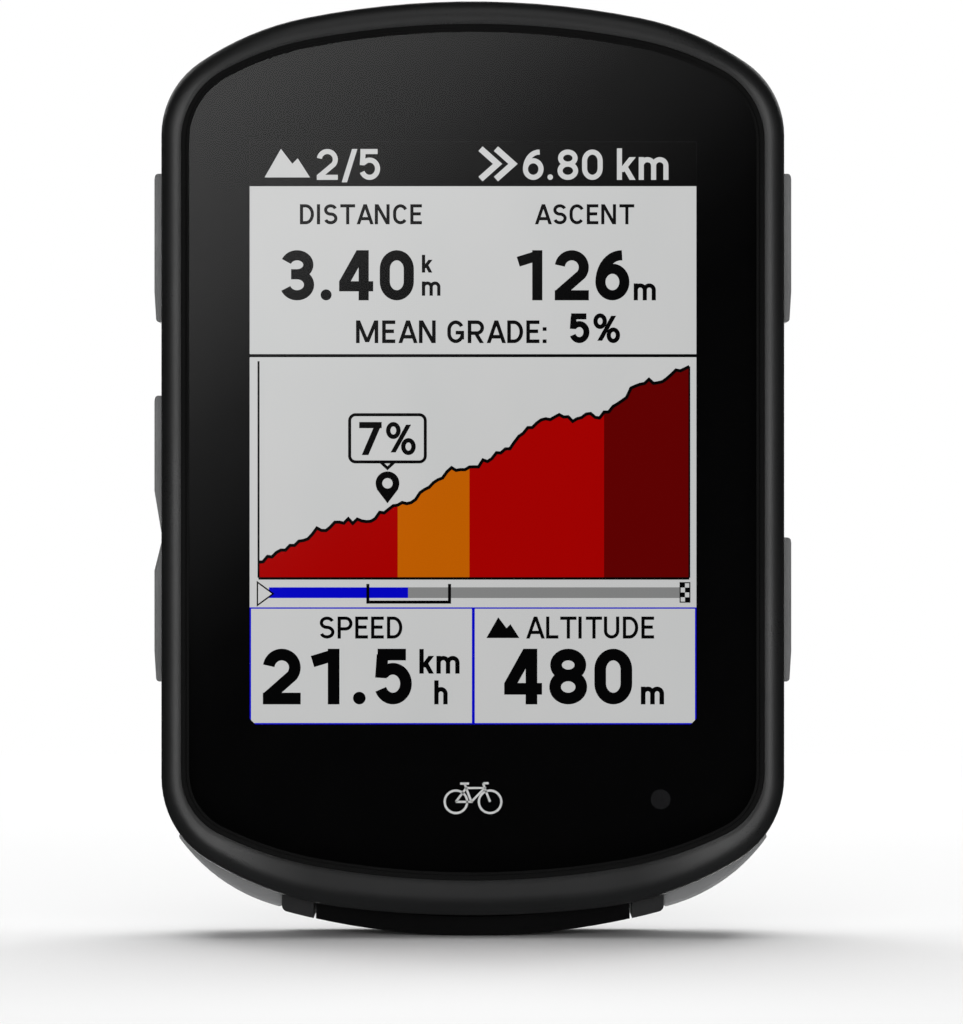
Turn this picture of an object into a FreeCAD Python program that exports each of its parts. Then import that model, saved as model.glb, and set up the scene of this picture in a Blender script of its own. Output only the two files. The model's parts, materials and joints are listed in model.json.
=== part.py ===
import FreeCAD, Part
import math
import os
import re
import Sketcher

# Cycling computer with a quarter-turn mount.  Millimetres.  X right, Z up, the screen
# faces -Y and the origin is the centre of the mount boss on the plane of the back face.

VALUES = {
    # how far a cutting shape runs past the face it opens, and an added block into a wall
    "over": 1.0, "sink": 0.5,
    # outline of the case: half width, end heights and the arc radii of both ends
    "case_half_w": 28.28, "case_top_z": 38.5, "case_low_z": -44.5,
    "case_top_end_r": 77.5, "case_top_side_r": 25.9, "case_top_corner_r": 8.0,
    "case_top_join_x": 15.2,
    "case_low_end_r": 96.0, "case_low_side_r": 30.0, "case_low_corner_r": 8.8,
    "case_low_join_x": 12.0,
    # outline of the lens opening
    "pane_half_w": 26.43, "pane_top_z": 36.34, "pane_low_z": -41.25,
    "pane_top_end_r": 78.8, "pane_top_side_r": 26.6, "pane_top_corner_r": 7.3,
    "pane_top_join_x": 14.9,
    "pane_low_end_r": 79.8, "pane_low_side_r": 34.0, "pane_low_corner_r": 6.2,
    "pane_low_join_x": 13.8,
    # depths, measured along Y from the back face
    "front_y": -15.4, "lens_face_y": -15.6, "lens_back_y": -14.5, "ledge_y": -14.3,
    "split_y": -11.6, "boss_end_y": 4.0,
    # housings
    "front_round": 1.7, "rear_round": 4.0, "wall": 2.2, "wall_round": 2.0,
    "seam_step": 0.1, "ledge_w": 1.6, "band_w": 0.48, "fit_gap": 0.02,
    "groove_out": 0.8, "groove_in": 1.5, "groove_deep": 0.6, "groove_gap": 0.05,
    # chin and port cover
    "chin_r": 66.0, "chin_z": 19.5, "chin_half_w": 17.4, "chin_round": 3.0,
    "chin_side_round": 0.6,
    "cover_half_w": 14.3, "cover_gap": 0.2, "cover_thick": 1.75, "cover_front_y": -11.3,
    "hinge_y": -0.9, "hinge_z": -38.0, "bead_r": 0.87, "bead_gap": 0.28,
    "recess_half_w": 6.6, "recess_front_y": -10.6, "recess_back_y": -4.2,
    "recess_top_z": -38.4, "port_wall": 1.5, "swing_gap": 0.1,
    "plug_gap": 0.8, "plug_back_gap": 1.4, "plug_low": 1.6, "plug_thick": 1.0,
    "block_inset": 1.0, "backing_w": 1.6, "backing_deep": 1.2, "backing_ends": 2.0,
    # screws that join the two housings
    "post_r": 1.6, "post_side_x": 23.6, "post_mid_z": 6.1, "post_low_z": -28.5,
    "post_top_x": 21.2, "post_top_z": 30.6, "screw_r": 0.75, "screw_gap": 0.08,
    "screw_head_r": 1.4, "screw_head_gap": 0.15, "screw_head_deep": 1.4,
    "screw_end_y": -13.2, "screw_sink": 0.1, "screw_tip_gap": 0.3,
    "slot_deep": 0.6, "slot_half_len": 0.8, "slot_half_w": 0.16,
    # buttons: cap, pocket, stem and switch
    "cap_front_y": -10.6, "cap_back_y": -6.0, "cap_gap": 0.15, "cap_proud": 0.8,
    "cap_lift": 0.7, "cap_round": 0.35, "pocket_deep": 1.5, "travel": 0.5,
    "pocket_over": 3.0, "guide_r": 2.6, "guide_len": 2.5, "stem_r": 1.2, "stem_gap": 0.1,
    "touch_gap": 0.01, "ring_at": 1.0, "ring_mid_r": 0.93, "ring_wire_r": 0.35,
    "ring_gap": 0.05,
    "disc_r": 1.9, "disc_thick": 0.4, "disc_gap": 0.15, "nose_r": 0.9, "nose_len": 0.55,
    "switch_gap": 0.05, "switch_key_r": 0.8, "switch_key_len": 0.15,
    "switch_w": 3.0, "switch_deep": 2.6, "switch_thick": 0.75,
    "flex_thick": 0.15, "flex_inset": 0.4, "flex_half_len": 21.5,
    "corner_flex_half_w": 2.2, "corner_flex_half_deep": 1.9,
    # corner buttons: arc centre, radii and end angles off straight down
    "corner_x": 13.65, "corner_z": -28.25, "corner_out_r": 16.14, "corner_floor_r": 14.0,
    "corner_from": 13.5, "corner_to": 55.5, "corner_mid": 34.5, "corner_gap": 1.15,
    # inner stack
    "panel_half_w": 21.47, "panel_top_z": 27.0, "panel_low_z": -30.6,
    "panel_front_y": -14.0, "panel_back_y": -12.9, "light_back_y": -12.0,
    "frame_front_y": -11.9, "frame_back_y": -11.1, "frame_half_w": 21.4,
    "frame_top_z": 28.2, "frame_mid_z": -30.0, "frame_low_z": -36.0,
    "frame_low_half_w": 18.6, "frame_slot_half_w": 9.0, "frame_slot_top_z": -30.8,
    "frame_slot_low_z": -31.9, "flange_thick": 0.7, "flange_half_len": 22.0,
    "bracket_half_w": 2.4, "bracket_front": 2.81, "bracket_back": 2.0, "bracket_gap": 0.3,
    "ribbon_half_w": 8.0, "ribbon_low_z": -31.5, "ribbon_foot_z": -28.5,
    "ribbon_thick": 0.3, "ribbon_foot_thick": 0.5,
    "board_front_y": -10.0, "board_back_y": -9.2, "board_half_w": 20.3,
    "board_low_z": -28.0, "board_mid_z": 21.0, "board_top_half_w": 18.0,
    "board_top_z": 32.5, "board_tail_half_w": 11.5, "board_tail_z": -36.0,
    "shield_half_w": 13.0, "shield_low_z": -14.0, "shield_top_z": 12.0,
    "shield_back_y": -10.9, "shield_wall": 0.2,
    "chip_half_w": 6.0, "chip_mid_z": -1.0, "chip_thick": 0.5,
    "antenna_half_w": 5.5, "antenna_low_z": 20.8, "antenna_thick": 3.8,
    "baro_half_w": 1.7, "baro_thick": 1.2,
    "battery_half_w": 17.0, "battery_top_z": 18.0, "battery_low_z": -24.0,
    "battery_front_y": -8.2, "battery_back_y": -4.0, "battery_round": 1.2,
    "foam_back_y": -3.5, "foam_inset": 2.0, "foam_half_h": 11.0,
    "socket_x": -9.0, "socket_half_w": 2.0, "socket_low_z": 19.4, "socket_top_z": 22.0,
    "socket_thick": 1.4, "strand_apart": 0.8, "strand_half_w": 0.3, "strand_thick": 0.6,
    "lead_lift": 0.5, "lead_half_w": 1.3, "lead_entry": 2.0,
    # charging port
    "port_half_w": 4.5, "port_inner_z": -31.0, "port_back_y": -6.0, "port_metal": 0.32,
    "port_end": 1.0, "port_round": 1.2, "mouth_round": 1.0, "port_gap": 0.12,
    "tongue_half_w": 3.3, "tongue_front_y": -7.95, "tongue_back_y": -7.25,
    "tongue_inset": 0.6, "port_seal_w": 0.9, "port_seal_h": 0.8, "port_seal_thick": 0.5,
    # quarter-turn mount
    "mount_r": 12.5, "ear_r": 14.8, "ear_half_w": 6.5, "ear_thick": 1.8,
    "mount_seat_y": -1.5, "mount_dish_r": 8.0, "mount_dish_y": 1.5, "seat_back_y": -3.4,
    "mount_screw_x": 5.2, "mount_screw_r": 0.8, "mount_screw_end_y": -3.2,
    "mount_head_r": 1.6, "mount_head_deep": 1.1, "mount_screw_gap": 0.1,
    "mount_thread_gap": 0.05, "mount_tip_gap": 0.1, "mount_backing_w": 1.0,
    "mount_round": 0.4, "detent_r": 0.9, "detent_deep": 0.7, "detent_in": 1.1,
    # small parts
    "sensor_x": 17.03, "sensor_z": -33.93, "sensor_r": 1.2,
    "lanyard_x": 20.5, "lanyard_z": -34.5, "lanyard_r": 0.6, "lanyard_y": -1.1,
    "lanyard_half_len": 3.0, "lanyard_end_gap": 0.1, "lanyard_slot_half": 2.2,
    "lanyard_slot_deep": 0.9, "lanyard_back_half_w": 3.6, "lanyard_back_half_h": 3.2,
    "lanyard_back_deep": 2.2,
    "buzzer_x": -13.0, "buzzer_r": 4.4, "buzzer_thick": 3.0, "grille_step": 1.5,
    "vent_x": 13.0, "vent_z": 27.0, "vent_r": 0.45, "membrane_r": 2.2,
    "membrane_thick": 0.3,
}

# end shapes of a side button: how far its outer edge drops, and over what length
BLUNT, TAPERED, SLOPED, LONG_SLOPED = (0.08, 0.5), (0.17, 2.8), (0.70, 2.8), (0.70, 4.2)

# name: side (-1 left, 1 right), low and high Z of the cap, shapes of its low and high end
SIDE_BUTTONS = {
    "power": (-1, 9.45, 23.0, TAPERED, BLUNT),
    "up": (-1, -10.14, 2.75, LONG_SLOPED, BLUNT),
    "down": (-1, -23.35, -10.41, TAPERED, SLOPED),
    "select": (1, 9.45, 23.0, TAPERED, BLUNT),
    "back": (1, -23.35, -10.2, TAPERED, BLUNT),
}
CORNER_BUTTONS = {"lap": -1, "start": 1}

# how close two coordinates must be to count as the same edge
NEAR = 0.01

doc = FreeCAD.newDocument("CyclingComputer")
sheet = doc.addObject("Spreadsheet::Sheet", "Params")
nodes = []


def fill_sheet():
    """One plain number per row, each with its own alias."""
    for row, (alias, value) in enumerate(VALUES.items(), start=1):
        sheet.set("A%d" % row, alias)
        sheet.set("B%d" % row, str(value))
        sheet.setAlias("B%d" % row, alias)
    doc.recompute()


def ex(text):
    """Turn the sheet names in a formula into references to the sheet."""
    return re.sub(r"[a-z][a-z_]+", lambda m: "Params." + m[0] if m[0] in VALUES else m[0],
                  str(text))


def bind(obj, **formulas):
    """Bind properties; two underscores stand for the dot of a sub-property."""
    for prop, text in formulas.items():
        obj.setExpression(prop.replace("__", "."), ex(text))
    return obj


def place(obj, x=0, y=0, z=0):
    return bind(obj, Placement__Base__x=x, Placement__Base__y=y, Placement__Base__z=z)


def block(name, x, y, z):
    """Box between three (low, high) pairs of formulas."""
    box = doc.addObject("Part::Box", name)
    bind(box, Length="(%s) - (%s)" % (x[1], x[0]), Width="(%s) - (%s)" % (y[1], y[0]),
         Height="(%s) - (%s)" % (z[1], z[0]))
    return place(box, x[0], y[0], z[0])


def rod(name, radius, y, x=0, z=0):
    """Cylinder along Y between two formulas."""
    pin = doc.addObject("Part::Cylinder", name)
    pin.Placement.Rotation = FreeCAD.Rotation(FreeCAD.Vector(1, 0, 0), -90)
    bind(pin, Radius=radius, Height="(%s) - (%s)" % (y[1], y[0]))
    return place(pin, x, y[0], z)


def bar(name, radius, x, y, z):
    """Cylinder along X between two formulas."""
    pin = doc.addObject("Part::Cylinder", name)
    pin.Placement.Rotation = FreeCAD.Rotation(FreeCAD.Vector(0, 1, 0), 90)
    bind(pin, Radius=radius, Height="(%s) - (%s)" % (x[1], x[0]))
    return place(pin, x[0], y, z)


def peg(name, radius, z):
    """Cylinder along Z between two formulas, for the parts that are turned afterwards."""
    pin = doc.addObject("Part::Cylinder", name)
    bind(pin, Radius=radius, Height="(%s) - (%s)" % (z[1], z[0]))
    return place(pin, 0, 0, z[0])


def fuse(name, shapes):
    group = doc.addObject("Part::MultiFuse", name)
    group.Shapes = shapes
    return group


def cut(name, base, tools):
    """Base minus one tool or several."""
    result = doc.addObject("Part::Cut", name)
    result.Base = base
    result.Tool = tools[0] if len(tools) == 1 else fuse(name + "_tools", tools)
    return result


def common(name, first, second):
    result = doc.addObject("Part::MultiCommon", name)
    result.Shapes = [first, second]
    return result


def node(obj, name):
    """Mark an object as a finished sub-part."""
    obj.Label = name
    nodes.append(obj)
    return obj


def new_sketch(body, name, y):
    """Sketch on the body's XZ plane, moved to the given Y."""
    sketch = body.newObject("Sketcher::SketchObject", name)
    plane = next(f for f in body.Origin.OriginFeatures if f.Role == "XZ_Plane")
    sketch.AttachmentSupport = [(plane, "")]
    sketch.MapMode = "FlatFace"
    return bind(sketch, AttachmentOffset__Base__z="-(%s)" % y)


def fix(sketch, kind, *rest, formula, name):
    """Add a constraint and bind its value."""
    index = sketch.addConstraint(Sketcher.Constraint(kind, *rest))
    sketch.renameConstraint(index, name)
    sketch.setExpression("Constraints." + name, ex(formula))


def end_arcs(kind, end, inset):
    """Centres, radii and swing angles of one end's three arcs, right half."""
    up = 1 if end == "top" else -1
    size = {key: VALUES["%s_%s_%s" % (kind, end, key)]
            for key in ("z", "end_r", "side_r", "corner_r", "join_x")}
    half_w = VALUES[kind + "_half_w"]
    first = math.asin(size["join_x"] / size["end_r"])
    end_z = size["z"] - up * size["end_r"]
    side = size["end_r"] - size["side_r"]
    side_x, side_z = side * math.sin(first), end_z + up * side * math.cos(first)
    corner = size["side_r"] - size["corner_r"]
    second = math.asin((half_w - size["corner_r"] - side_x) / corner)
    corner_x = side_x + corner * math.sin(second)
    corner_z = side_z + up * corner * math.cos(second)
    return {"end": (0, end_z, size["end_r"] - inset),
            "side": (side_x, side_z, size["side_r"] - inset),
            "corner": (corner_x, corner_z, size["corner_r"] - inset),
            "first": first, "second": second}


def arc(centre_x, centre_z, radius, start, stop):
    circle = Part.Circle(FreeCAD.Vector(centre_x, centre_z, 0), FreeCAD.Vector(0, 0, 1), radius)
    return Part.ArcOfCircle(circle, start, stop)


def outline_geometry(kind, inset):
    """Ten arcs and two side lines, anticlockwise from the right side line."""
    top, low = end_arcs(kind, "top", inset), end_arcs(kind, "low", inset)
    half_w = VALUES[kind + "_half_w"] - inset
    quarter, whole = math.pi / 2, math.pi
    first, second = top["first"], top["second"]
    (cx, cz, cr), (sx, sz, sr), (_, ez, er) = top["corner"], top["side"], top["end"]
    top_arcs = [arc(cx, cz, cr, 0, quarter - second),
                arc(sx, sz, sr, quarter - second, quarter - first),
                arc(0, ez, er, quarter - first, quarter + first),
                arc(-sx, sz, sr, quarter + first, quarter + second),
                arc(-cx, cz, cr, quarter + second, whole)]
    line_z = (low["corner"][1], cz)
    first, second = low["first"], low["second"]
    (cx, cz, cr), (sx, sz, sr), (_, ez, er) = low["corner"], low["side"], low["end"]
    down = whole + quarter
    low_arcs = [arc(-cx, cz, cr, whole, down - second),
                arc(-sx, sz, sr, down - second, down - first),
                arc(0, ez, er, down - first, down + first),
                arc(sx, sz, sr, down + first, down + second),
                arc(cx, cz, cr, down + second, 2 * whole)]
    sides = [Part.LineSegment(FreeCAD.Vector(half_w, line_z[0], 0),
                              FreeCAD.Vector(half_w, line_z[1], 0)),
             Part.LineSegment(FreeCAD.Vector(-half_w, line_z[1], 0),
                              FreeCAD.Vector(-half_w, line_z[0], 0))]
    return [sides[0]] + top_arcs + [sides[1]] + low_arcs


def outline_sketch(body, name, kind, inset, y):
    """Fully constrained case or pane outline, set in by a formula."""
    sketch = new_sketch(body, name, y)
    start = sum(VALUES[word] for word in re.findall(r"[a-z][a-z_]+", str(inset)))
    for curve in outline_geometry(kind, start):
        sketch.addGeometry(curve, False)
    for index in range(12):
        sketch.addConstraint(Sketcher.Constraint("Tangent", index, 2, (index + 1) % 12, 1))
    origin = (-1, 1)
    for line, ends in ((0, (origin, (0, 1))), (6, ((6, 1), origin))):
        sketch.addConstraint(Sketcher.Constraint("Vertical", line))
        fix(sketch, "DistanceX", *ends[0], *ends[1], VALUES[kind + "_half_w"] - start,
            formula="%s_half_w - (%s)" % (kind, inset), name="half_w_%d" % line)
    radii = {"corner_r": {"top": (1, 5), "low": (7, 11)},
             "side_r": {"top": (2, 4), "low": (8, 10)},
             "end_r": {"top": (3,), "low": (9,)}}
    for key, ends in radii.items():
        for end, arcs in ends.items():
            alias = "%s_%s_%s" % (kind, end, key)
            for index in arcs:
                fix(sketch, "Radius", index, VALUES[alias] - start,
                    formula="%s - (%s)" % (alias, inset), name="%s_%d" % (key, index))
    for index in (3, 9):
        sketch.addConstraint(Sketcher.Constraint("PointOnObject", index, 3, -2))
    fix(sketch, "DistanceY", 3, 3, -1, 1,
        VALUES[kind + "_top_end_r"] - VALUES[kind + "_top_z"],
        formula="%s_top_end_r - %s_top_z" % (kind, kind), name="top_centre")
    fix(sketch, "DistanceY", -1, 1, 9, 3,
        VALUES[kind + "_low_end_r"] + VALUES[kind + "_low_z"],
        formula="%s_low_end_r + %s_low_z" % (kind, kind), name="low_centre")
    joins = {"top": ((*origin, 3, 1), (3, 2, *origin)), "low": ((9, 1, *origin), (*origin, 9, 2))}
    for end, points in joins.items():
        join, full = "%s_%s_join_x" % (kind, end), "%s_%s_end_r" % (kind, end)
        at = VALUES[join] * (VALUES[full] - start) / VALUES[full]
        for side, ends in enumerate(points):
            fix(sketch, "DistanceX", *ends, at, name="join_%s_%d" % (end, side),
                formula="%s * (%s - (%s)) / %s" % (join, full, inset, full))
    return sketch


def pad(body, name, sketch, length):
    """Pad a sketch towards the front."""
    feature = body.newObject("PartDesign::Pad", name)
    feature.Profile = sketch
    sketch.Visibility = False
    return bind(feature, Length=length)


def slab(name, kind, inset, y):
    """Plate with the case or pane outline between two Y formulas."""
    body = doc.addObject("PartDesign::Body", name)
    sketch = outline_sketch(body, name + "_outline", kind, inset, y[1])
    pad(body, name + "_pad", sketch, "(%s) - (%s)" % (y[1], y[0]))
    doc.recompute()
    return body


def ring(name, kind, outer, inner, y):
    """Slab with a smaller outline cut out of it."""
    hole = slab(name + "_hole", kind, inner, ("(%s) - over" % y[0], "(%s) + over" % y[1]))
    return cut(name, slab(name + "_slab", kind, outer, y), [hole])


def prism(name, corners, y):
    """Straight-sided plate from corner formulas (x, z) between two Y formulas."""
    body = doc.addObject("PartDesign::Body", name)
    sketch = new_sketch(body, name + "_profile", y[1])
    count = len(corners)
    turn = 2 * math.pi / count
    seeds = [FreeCAD.Vector(math.cos(turn * k), math.sin(turn * k), 0) for k in range(count)]
    for k in range(count):
        sketch.addGeometry(Part.LineSegment(seeds[k], seeds[(k + 1) % count]), False)
    for k in range(count):
        sketch.addConstraint(Sketcher.Constraint("Coincident", k, 2, (k + 1) % count, 1))
    for k, (x, z) in enumerate(corners):
        fix(sketch, "DistanceX", -1, 1, k, 1, seeds[k].x, formula=x, name="x_%d" % k)
        fix(sketch, "DistanceY", -1, 1, k, 1, seeds[k].y, formula=z, name="z_%d" % k)
    pad(body, name + "_pad", sketch, "(%s) - (%s)" % (y[1], y[0]))
    doc.recompute()
    return body


def plate(name, x, y, z):
    """Rectangular prism between three (low, high) pairs of formulas."""
    return prism(name, [(x[0], z[0]), (x[1], z[0]), (x[1], z[1]), (x[0], z[1])], y)


def edge_names(shape, wanted):
    """Names of the edges whose middle point passes a test."""
    names = []
    for index, edge in enumerate(shape.Edges, start=1):
        middle = edge.valueAt((edge.FirstParameter + edge.LastParameter) / 2)
        if wanted(middle, edge):
            names.append("Edge%d" % index)
    return names


def fillet(body, name, wanted, radius):
    """Round the chosen edges of a body's last feature."""
    last = body.Tip
    feature = body.newObject("PartDesign::Fillet", name)
    feature.Base = (last, edge_names(last.Shape, wanted))
    bind(feature, Radius=radius)
    doc.recompute()
    return body


def at_y(alias):
    """Test for edges that lie wholly at one Y."""
    return lambda middle, edge: all(
        abs(y - VALUES[alias]) < NEAR
        for y in (middle.y, edge.Vertexes[0].Y, edge.Vertexes[-1].Y))


def upright(half_w):
    """Test for the long edges along Z at a half width."""
    return lambda middle, edge: abs(abs(middle.x) - half_w) < NEAR and edge.Length > 5


def carry(name, base):
    """Body that starts from a finished boolean, so that its edges can be rounded."""
    body = doc.addObject("PartDesign::Body", name)
    body.BaseFeature = base
    doc.recompute()
    return body


class Button:
    """Where one button stands: pocket floor point and the angle of its outward axis."""

    def __init__(self, name, side, floor_x, floor_z, angle):
        self.name, self.side = name, side
        self.floor_x, self.floor_z, self.angle = floor_x, floor_z, angle

    def turn(self, obj, out=0):
        """Stand an object made along Z on the pocket floor, moved outward by a formula."""
        obj.Placement.Rotation = FreeCAD.Rotation(FreeCAD.Vector(0, 1, 0), self.angle)
        return place(obj, "%s + (%s) * sin(%s)" % (self.floor_x, out, self.angle),
                     "(cap_front_y + cap_back_y) / 2",
                     "%s + (%s) * cos(%s)" % (self.floor_z, out, self.angle))


def all_buttons():
    found = []
    for name, (side, low, high, _, _) in SIDE_BUTTONS.items():
        found.append(Button(name, side, "%d * (case_half_w - pocket_deep)" % side,
                            "%s" % ((low + high) / 2), 90 * side))
    for name, side in CORNER_BUTTONS.items():
        found.append(Button(name, side,
                            "%d * (corner_x + corner_floor_r * sin(corner_mid))" % side,
                            "corner_z - corner_floor_r * cos(corner_mid)",
                            side * (180 - VALUES["corner_mid"])))
    return found


SCREW_SPOTS = [("%d * %s" % (side, x), z) for side in (-1, 1) for x, z in (
    ("post_top_x", "post_top_z"), ("post_side_x", "post_mid_z"), ("post_side_x", "post_low_z"))]
MOUNT_SPOTS = [("%d * mount_screw_x" % i, "%d * mount_screw_x" % k)
               for i in (-1, 1) for k in (-1, 1)]


def around(centre, half):
    """(low, high) pair of formulas either side of a centre."""
    return "%s - %s" % (centre, half), "%s + %s" % (centre, half)


def rods(name, radius, y, spots):
    return [rod("%s_%d" % (name, k), radius, y, x, z) for k, (x, z) in enumerate(spots)]


def sector(name, radius_in, radius_out, start, stop, side, y):
    """Part of a ring about a corner button's arc centre, between two angles."""
    outer = rod(name + "_outer", radius_out, y, "%d * corner_x" % side, "corner_z")
    inner = rod(name + "_inner", radius_in, ("(%s) - over" % y[0], "(%s) + over" % y[1]),
                "%d * corner_x" % side, "corner_z")
    far = 30
    corners = [("%d * corner_x" % side, "corner_z")]
    for angle in (start, stop) if side > 0 else (stop, start):
        corners.append(("%d * (corner_x + %d * sin(%s))" % (side, far, angle),
                        "corner_z - %d * cos(%s)" % (far, angle)))
    wedge = prism(name + "_wedge", corners, y)
    return common(name, cut(name + "_ring", outer, [inner]), wedge)


def front_housing():
    """Bezel: rounded front rim, lens seat, inner opening and six screw posts."""
    rim = slab("bezel_form", "case", 0, ("front_y", "split_y"))
    fillet(rim, "bezel_round", at_y("front_y"), "front_round")
    seat = slab("lens_seat", "pane", 0, ("front_y - over", "ledge_y"))
    opening = slab("bezel_opening", "pane", "ledge_w", ("ledge_y - over", "split_y + over"))
    shell = cut("bezel_shell", rim, [seat, opening])
    posts = rods("bezel_post", "post_r", ("ledge_y", "split_y"), SCREW_SPOTS)
    holes = rods("bezel_hole", "screw_r + screw_gap / 2",
                 ("screw_end_y - screw_tip_gap", "split_y + over"), SCREW_SPOTS)
    node(cut("bezel", fuse("bezel_posts", [shell] + posts), holes), "front_housing")


def lens_parts():
    """Lens and the dark seal that frames and carries it."""
    node(slab("lens", "pane", "band_w + fit_gap", ("lens_face_y", "lens_back_y")), "cover_lens")
    band = slab("band_slab", "pane", "fit_gap", ("front_y", "ledge_y"))
    lens_room = slab("band_room", "pane", "band_w", ("lens_face_y - over", "lens_back_y"))
    hole = slab("band_hole", "pane", "ledge_w", ("lens_back_y - over", "ledge_y + over"))
    node(cut("band", band, [lens_room, hole]), "lens_gasket")


def outer_form():
    """Solid outside shape of the rear housing with its chin, rounded at the back."""
    tub = slab("tub_form", "case", "seam_step", ("split_y", 0))
    fillet(tub, "tub_round", lambda m, e: abs(m.y) < NEAR, "rear_round")
    disc = rod("chin_disc", "chin_r", ("split_y", 0), 0, "chin_z")
    zone = block("chin_zone", ("-chin_half_w", "chin_half_w"), ("split_y", 0),
                 ("chin_z - chin_r - over", "hinge_z"))
    chin = carry("chin_form", common("chin_block", disc, zone))
    side_x, low_z = VALUES["chin_half_w"] - NEAR, VALUES["case_low_z"] + VALUES["over"]
    fillet(chin, "chin_side_edges", lambda m, e: abs(m.x) > side_x and m.z < low_z
           and e.Length > 5, "chin_side_round")
    fillet(chin, "chin_edge_round", lambda m, e: abs(m.y) < NEAR and m.z < low_z,
           "chin_round")
    return fuse("outer_form", [tub, chin])


def cover_room():
    """Space the port cover lies in, with its clearances."""
    wide = "(cover_half_w + cover_gap)"
    tall = ("chin_z - chin_r - over", "hinge_z")
    disc = rod("room_disc", "chin_r - cover_thick - cover_gap",
               ("split_y - 2 * over", "2 * over"), 0, "chin_z")
    under = cut("room_under", block("room_zone", ("-" + wide, wide),
                                    ("split_y - over", "over"), tall), [disc])
    behind = block("room_behind", ("-" + wide, wide), ("-cover_thick - cover_gap", "over"),
                   tall)
    bead = bar("room_bead", "bead_r + bead_gap", ("-" + wide, wide), "hinge_y", "hinge_z")
    swing = block("room_swing", ("-" + wide, wide), ("hinge_y", "over"),
                  ("hinge_z - swing_gap", "hinge_z + bead_r + bead_gap"))
    return [under, behind, bead, swing]


def port_cover(form):
    """Rubber flap over the port: L-shaped, hinged along its upper edge."""
    zone = block("cover_zone", ("-cover_half_w", "cover_half_w"), ("cover_front_y", 0),
                 ("chin_z - chin_r - over", "hinge_z"))
    skin = common("cover_skin", form, zone)
    disc = rod("cover_disc", "chin_r - cover_thick", ("cover_front_y - over", "-cover_thick"),
               0, "chin_z")
    bead = bar("cover_bead", "bead_r", ("-cover_half_w", "cover_half_w"), "hinge_y", "hinge_z")
    plug = block("cover_plug", ("-recess_half_w + plug_gap", "recess_half_w - plug_gap"),
                 ("recess_front_y + plug_gap", "recess_back_y - plug_back_gap"),
                 ("chin_z - chin_r + plug_low", "chin_z - chin_r + plug_low + plug_thick"))
    node(fuse("cover", [cut("cover_shell", skin, [disc]), bead, plug]), "usb_cover")


def button_tools(buttons):
    """Guides added inside the wall, and the pockets and stem holes cut from it."""
    guides, cuts = [], []
    room_y = ("cap_front_y - cap_gap", "cap_back_y + cap_gap")
    for name, (side, low, high, _, _) in SIDE_BUTTONS.items():
        x = ["case_half_w - pocket_deep", "case_half_w + over"]
        if side < 0:
            x = ["-(%s)" % x[1], "-(%s)" % x[0]]
        cuts.append(block(name + "_pocket", x, room_y,
                          ("%s - cap_gap" % low, "%s + cap_gap" % high)))
    for name, side in CORNER_BUTTONS.items():
        cuts.append(sector(name + "_pocket", "corner_floor_r", "corner_out_r + pocket_over",
                           "(corner_from - corner_gap)", "(corner_to + corner_gap)",
                           side, room_y))
    for button in buttons:
        guide = peg(button.name + "_guide", "guide_r", ("0", "guide_len"))
        guides.append(button.turn(guide, "-guide_len"))
        hole = peg(button.name + "_hole", "stem_r + stem_gap", ("0", "guide_len + 2 * over"))
        cuts.append(button.turn(hole, "-guide_len - over"))
    return guides, cuts


def rear_additions():
    """Inner posts, port block, mount backing and lanyard backing of the rear housing."""
    back = "-wall + sink"
    extra = rods("rear_post", "post_r", ("split_y", back), SCREW_SPOTS)
    extra.append(rod("mount_backing", "mount_r + mount_backing_w", ("seat_back_y", back)))
    wide = "(recess_half_w + port_wall)"
    extra.append(block("port_block", ("-" + wide, wide), ("split_y", back),
                       ("case_low_z + block_inset", "recess_top_z + port_wall")))
    wide = "(cover_half_w + backing_w)"
    extra.append(block("cover_backing", ("-" + wide, wide), ("-wall - backing_deep", back),
                       ("case_low_z + backing_ends", "hinge_z + backing_ends")))
    extra.append(block("lanyard_backing", around("lanyard_x", "lanyard_back_half_w"),
                       ("-wall - lanyard_back_deep", back),
                       around("lanyard_z", "lanyard_back_half_h")))
    return extra


def rear_cuts():
    """Everything removed from the rear housing apart from the buttons."""
    away = rods("rear_hole", "screw_r + screw_gap", ("split_y - over", "over"), SCREW_SPOTS)
    away += rods("rear_bore", "screw_head_r + screw_head_gap",
                 ("-screw_head_deep - screw_sink", "over"), SCREW_SPOTS)
    away.append(rod("mount_seat", "mount_r + fit_gap", ("mount_seat_y", "over")))
    away += rods("mount_hole", "mount_screw_r + mount_thread_gap",
                 ("mount_screw_end_y - mount_tip_gap", 0), MOUNT_SPOTS)
    away.append(block("port_recess", ("-recess_half_w", "recess_half_w"),
                      ("recess_front_y", "recess_back_y"), ("chin_z - chin_r", "recess_top_z")))
    away.append(block("port_hole", ("-port_half_w - port_gap", "port_half_w + port_gap"),
                      ("board_back_y - port_gap", "port_back_y + port_gap"),
                      ("recess_top_z - over", "recess_top_z + port_wall + over")))
    away.append(block("lanyard_slot", around("lanyard_x", "lanyard_slot_half"),
                      ("-wall - lanyard_slot_deep", "over"),
                      around("lanyard_z", "lanyard_slot_half")))
    away.append(bar("lanyard_hole", "lanyard_r + fit_gap",
                    around("lanyard_x", "(lanyard_half_len + lanyard_end_gap)"),
                    "lanyard_y", "lanyard_z"))
    grille = [("buzzer_x + %d * grille_step" % i, "vent_z + %d * grille_step" % k)
              for i, k in ((0, 0), (1, 0), (-1, 0), (0, 1), (0, -1))]
    away += rods("vent_hole", "vent_r", ("-wall - over", "over"),
                 grille + [("vent_x", "vent_z")])
    away.append(ring("seal_groove", "case", "groove_out", "groove_in",
                     ("split_y - over", "split_y + groove_deep")))
    return away


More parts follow.
